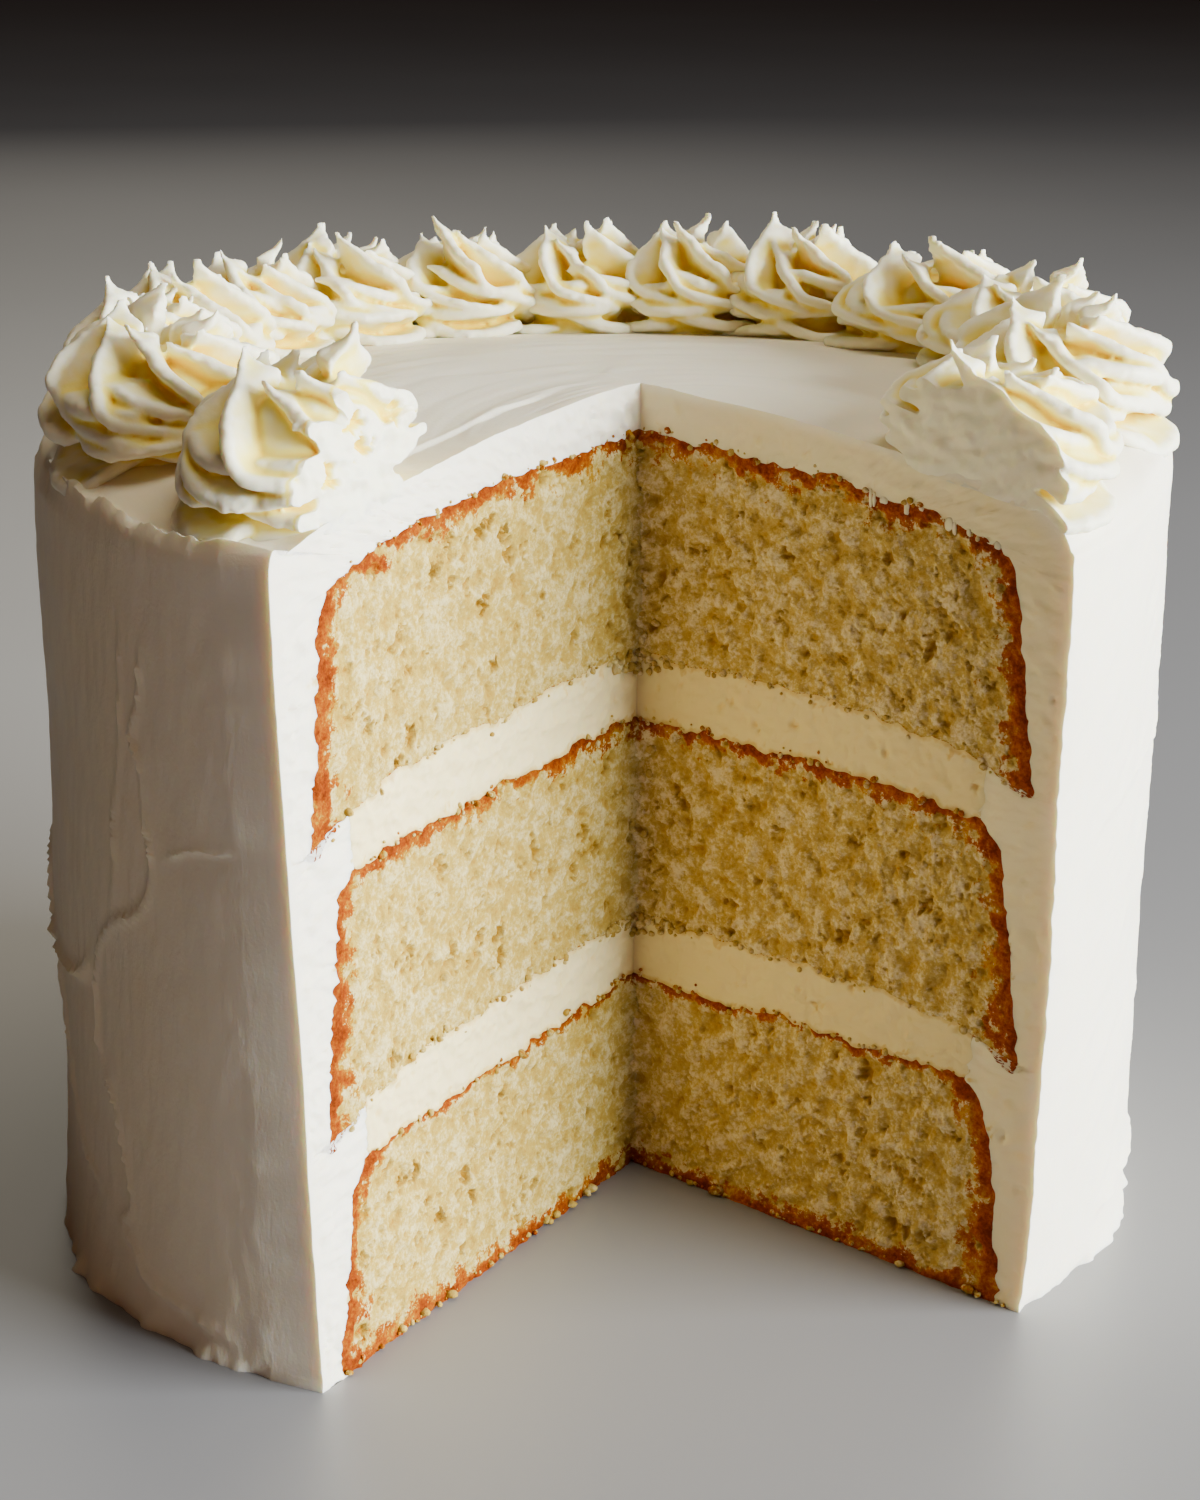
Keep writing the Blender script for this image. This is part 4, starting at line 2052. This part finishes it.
@dataclass(frozen=True)
class Studio:
    """Camera, soft lights and a plain pale floor."""

    camera_place: Triple = (-0.385, -410.034, 202.155)
    camera_heading: Triple = (0.000127, 0.949200, -0.314675)
    camera_roll: float = 0.451
    lens: float = 68.22

    def build(self) -> None:
        """Set everything up round the cake."""
        self.camera()
        self.light("key", (1.10, -0.40, 0.33), (0.85, 0.50), 78.0, (0.94, 0.98, 1.0))
        self.light("overhead", (0.25, -0.05, 1.1), (0.6, 0.6), 6.0, (1.0, 0.88, 0.68))
        self.light("fill", (-0.15, -1.25, 0.32), (0.35, 0.35), 0.82, (1.0, 0.37, 0.17))
        self.light("back", (-0.30, 1.30, 0.55), (0.60, 0.40), 3.0, (1.0, 0.93, 0.76))
        self.floor()
        world = bpy.data.worlds.new("studio")
        world.use_nodes = True
        colour, strength = world.node_tree.nodes["Background"].inputs[:2]
        colour.default_value, strength.default_value = (1.0, 0.50, 0.28, 1.0), 0.018
        bpy.context.scene.world = world

    def camera(self) -> None:
        """Place the camera in front of the open wedge, a little above the cake."""
        ahead = Vector(self.camera_heading).normalized()
        right = ahead.cross(Vector((0, 0, 1))).normalized()
        up = right.cross(ahead)
        roll = math.radians(self.camera_roll)
        across = math.cos(roll) * right + math.sin(roll) * up
        over = -math.sin(roll) * right + math.cos(roll) * up
        lens = bpy.data.cameras.new("camera")
        lens.lens = self.lens
        lens.sensor_width = 36.0
        lens.clip_start, lens.clip_end = 0.01, 50.0
        made = bpy.data.objects.new("camera", lens)
        turn = Matrix((across, over, -ahead)).transposed().to_4x4()
        made.matrix_world = Matrix.Translation(Vector(self.camera_place) * MM) @ turn
        bpy.context.scene.collection.objects.link(made)
        bpy.context.scene.camera = made

    def light(
        self,
        name: str,
        place: Triple,
        size: Pair,
        power: float,
        colour: Triple,
    ) -> None:
        """Add a soft oblong light that faces the cake.

        Args:
            name: its name.
            place: where it stands, in metres.
            size: its width and height in metres.
            power: its power in watts.
            colour: its colour.
        """
        lamp = bpy.data.lights.new(name, "AREA")
        lamp.shape = "RECTANGLE"
        lamp.size, lamp.size_y = size
        lamp.energy = power
        lamp.color = colour
        made = bpy.data.objects.new(name, lamp)
        made.location = place
        aim = Vector((0.0, 0.0, 0.06)) - Vector(place)
        made.rotation_mode = "QUATERNION"
        made.rotation_quaternion = aim.to_track_quat("-Z", "Y")
        bpy.context.scene.collection.objects.link(made)

    def floor(self) -> None:
        """Lay the pale floor under the cake."""
        mesh = bpy.data.meshes.new("floor")
        half = 6.0
        corners = [(-half, -half, 0), (half, -half, 0), (half, half, 0), (-half, half, 0)]
        mesh.from_pydata(corners, [], [(0, 1, 2, 3)])
        made = bpy.data.objects.new("floor", mesh)
        bpy.context.scene.collection.objects.link(made)
        sheet = NodeSheet("pale_floor")
        greys = ((0.3, (0.205, 0.205, 0.215)), (0.7, (0.225, 0.225, 0.235)))
        sheet.surface({"Base Color": sheet.ramp(sheet.noise(400.0, 2.0), greys), "Roughness": 0.45})
        sheet.dress(made)


def main() -> None:
    """Build the cake and its surroundings, and report each piece."""
    logging.basicConfig(level=logging.INFO, format="%(name)s: %(message)s")
    form = FORM
    bottom, middle, top = Outline.sponges()
    crumb = CrumbFinish().sheet()
    layers = (
        SpongeLayer("sponge_bottom", bottom, 0.0, form.bottom_top, 100, 1.4, 3.6),
        SpongeLayer("sponge_middle", middle, form.middle_floor, form.middle_top, 200, 2.8, 0.0),
        SpongeLayer("sponge_top", top, form.top_floor, form.top_top, 300, 3.3, 0.0),
    )
    pieces = [layer.build(crumb) for layer in layers]
    cream = ButtercreamFinish(Cream.FILLING, (0.82, 0.69, 0.35), (0.82, 0.64, 0.26)).sheet()
    fillings = (
        Filling("filling_lower", Outline.filling(bottom, middle)),
        Filling("filling_upper", Outline.filling(middle, top)),
    )
    pieces += [filling.build(cream) for filling in fillings]
    pieces.append(Coat().build(ButtercreamFinish(Cream.COAT).sheet()))
    tones = ((0.95, 0.905, 0.70), (0.93, 0.81, 0.21), (0.88, 0.62, 0.014))
    piped = ButtercreamFinish(Cream.PIPED, *tones, glow=0.5).sheet()
    pieces += [swirl.build(piped) for swirl in swirls()]
    for piece in pieces:
        piece.data.calc_loop_triangles()
        LOG.info("%s: %d triangles", piece.name, len(piece.data.loop_triangles))
    Studio().build()


if __name__ == "__main__":
    main()
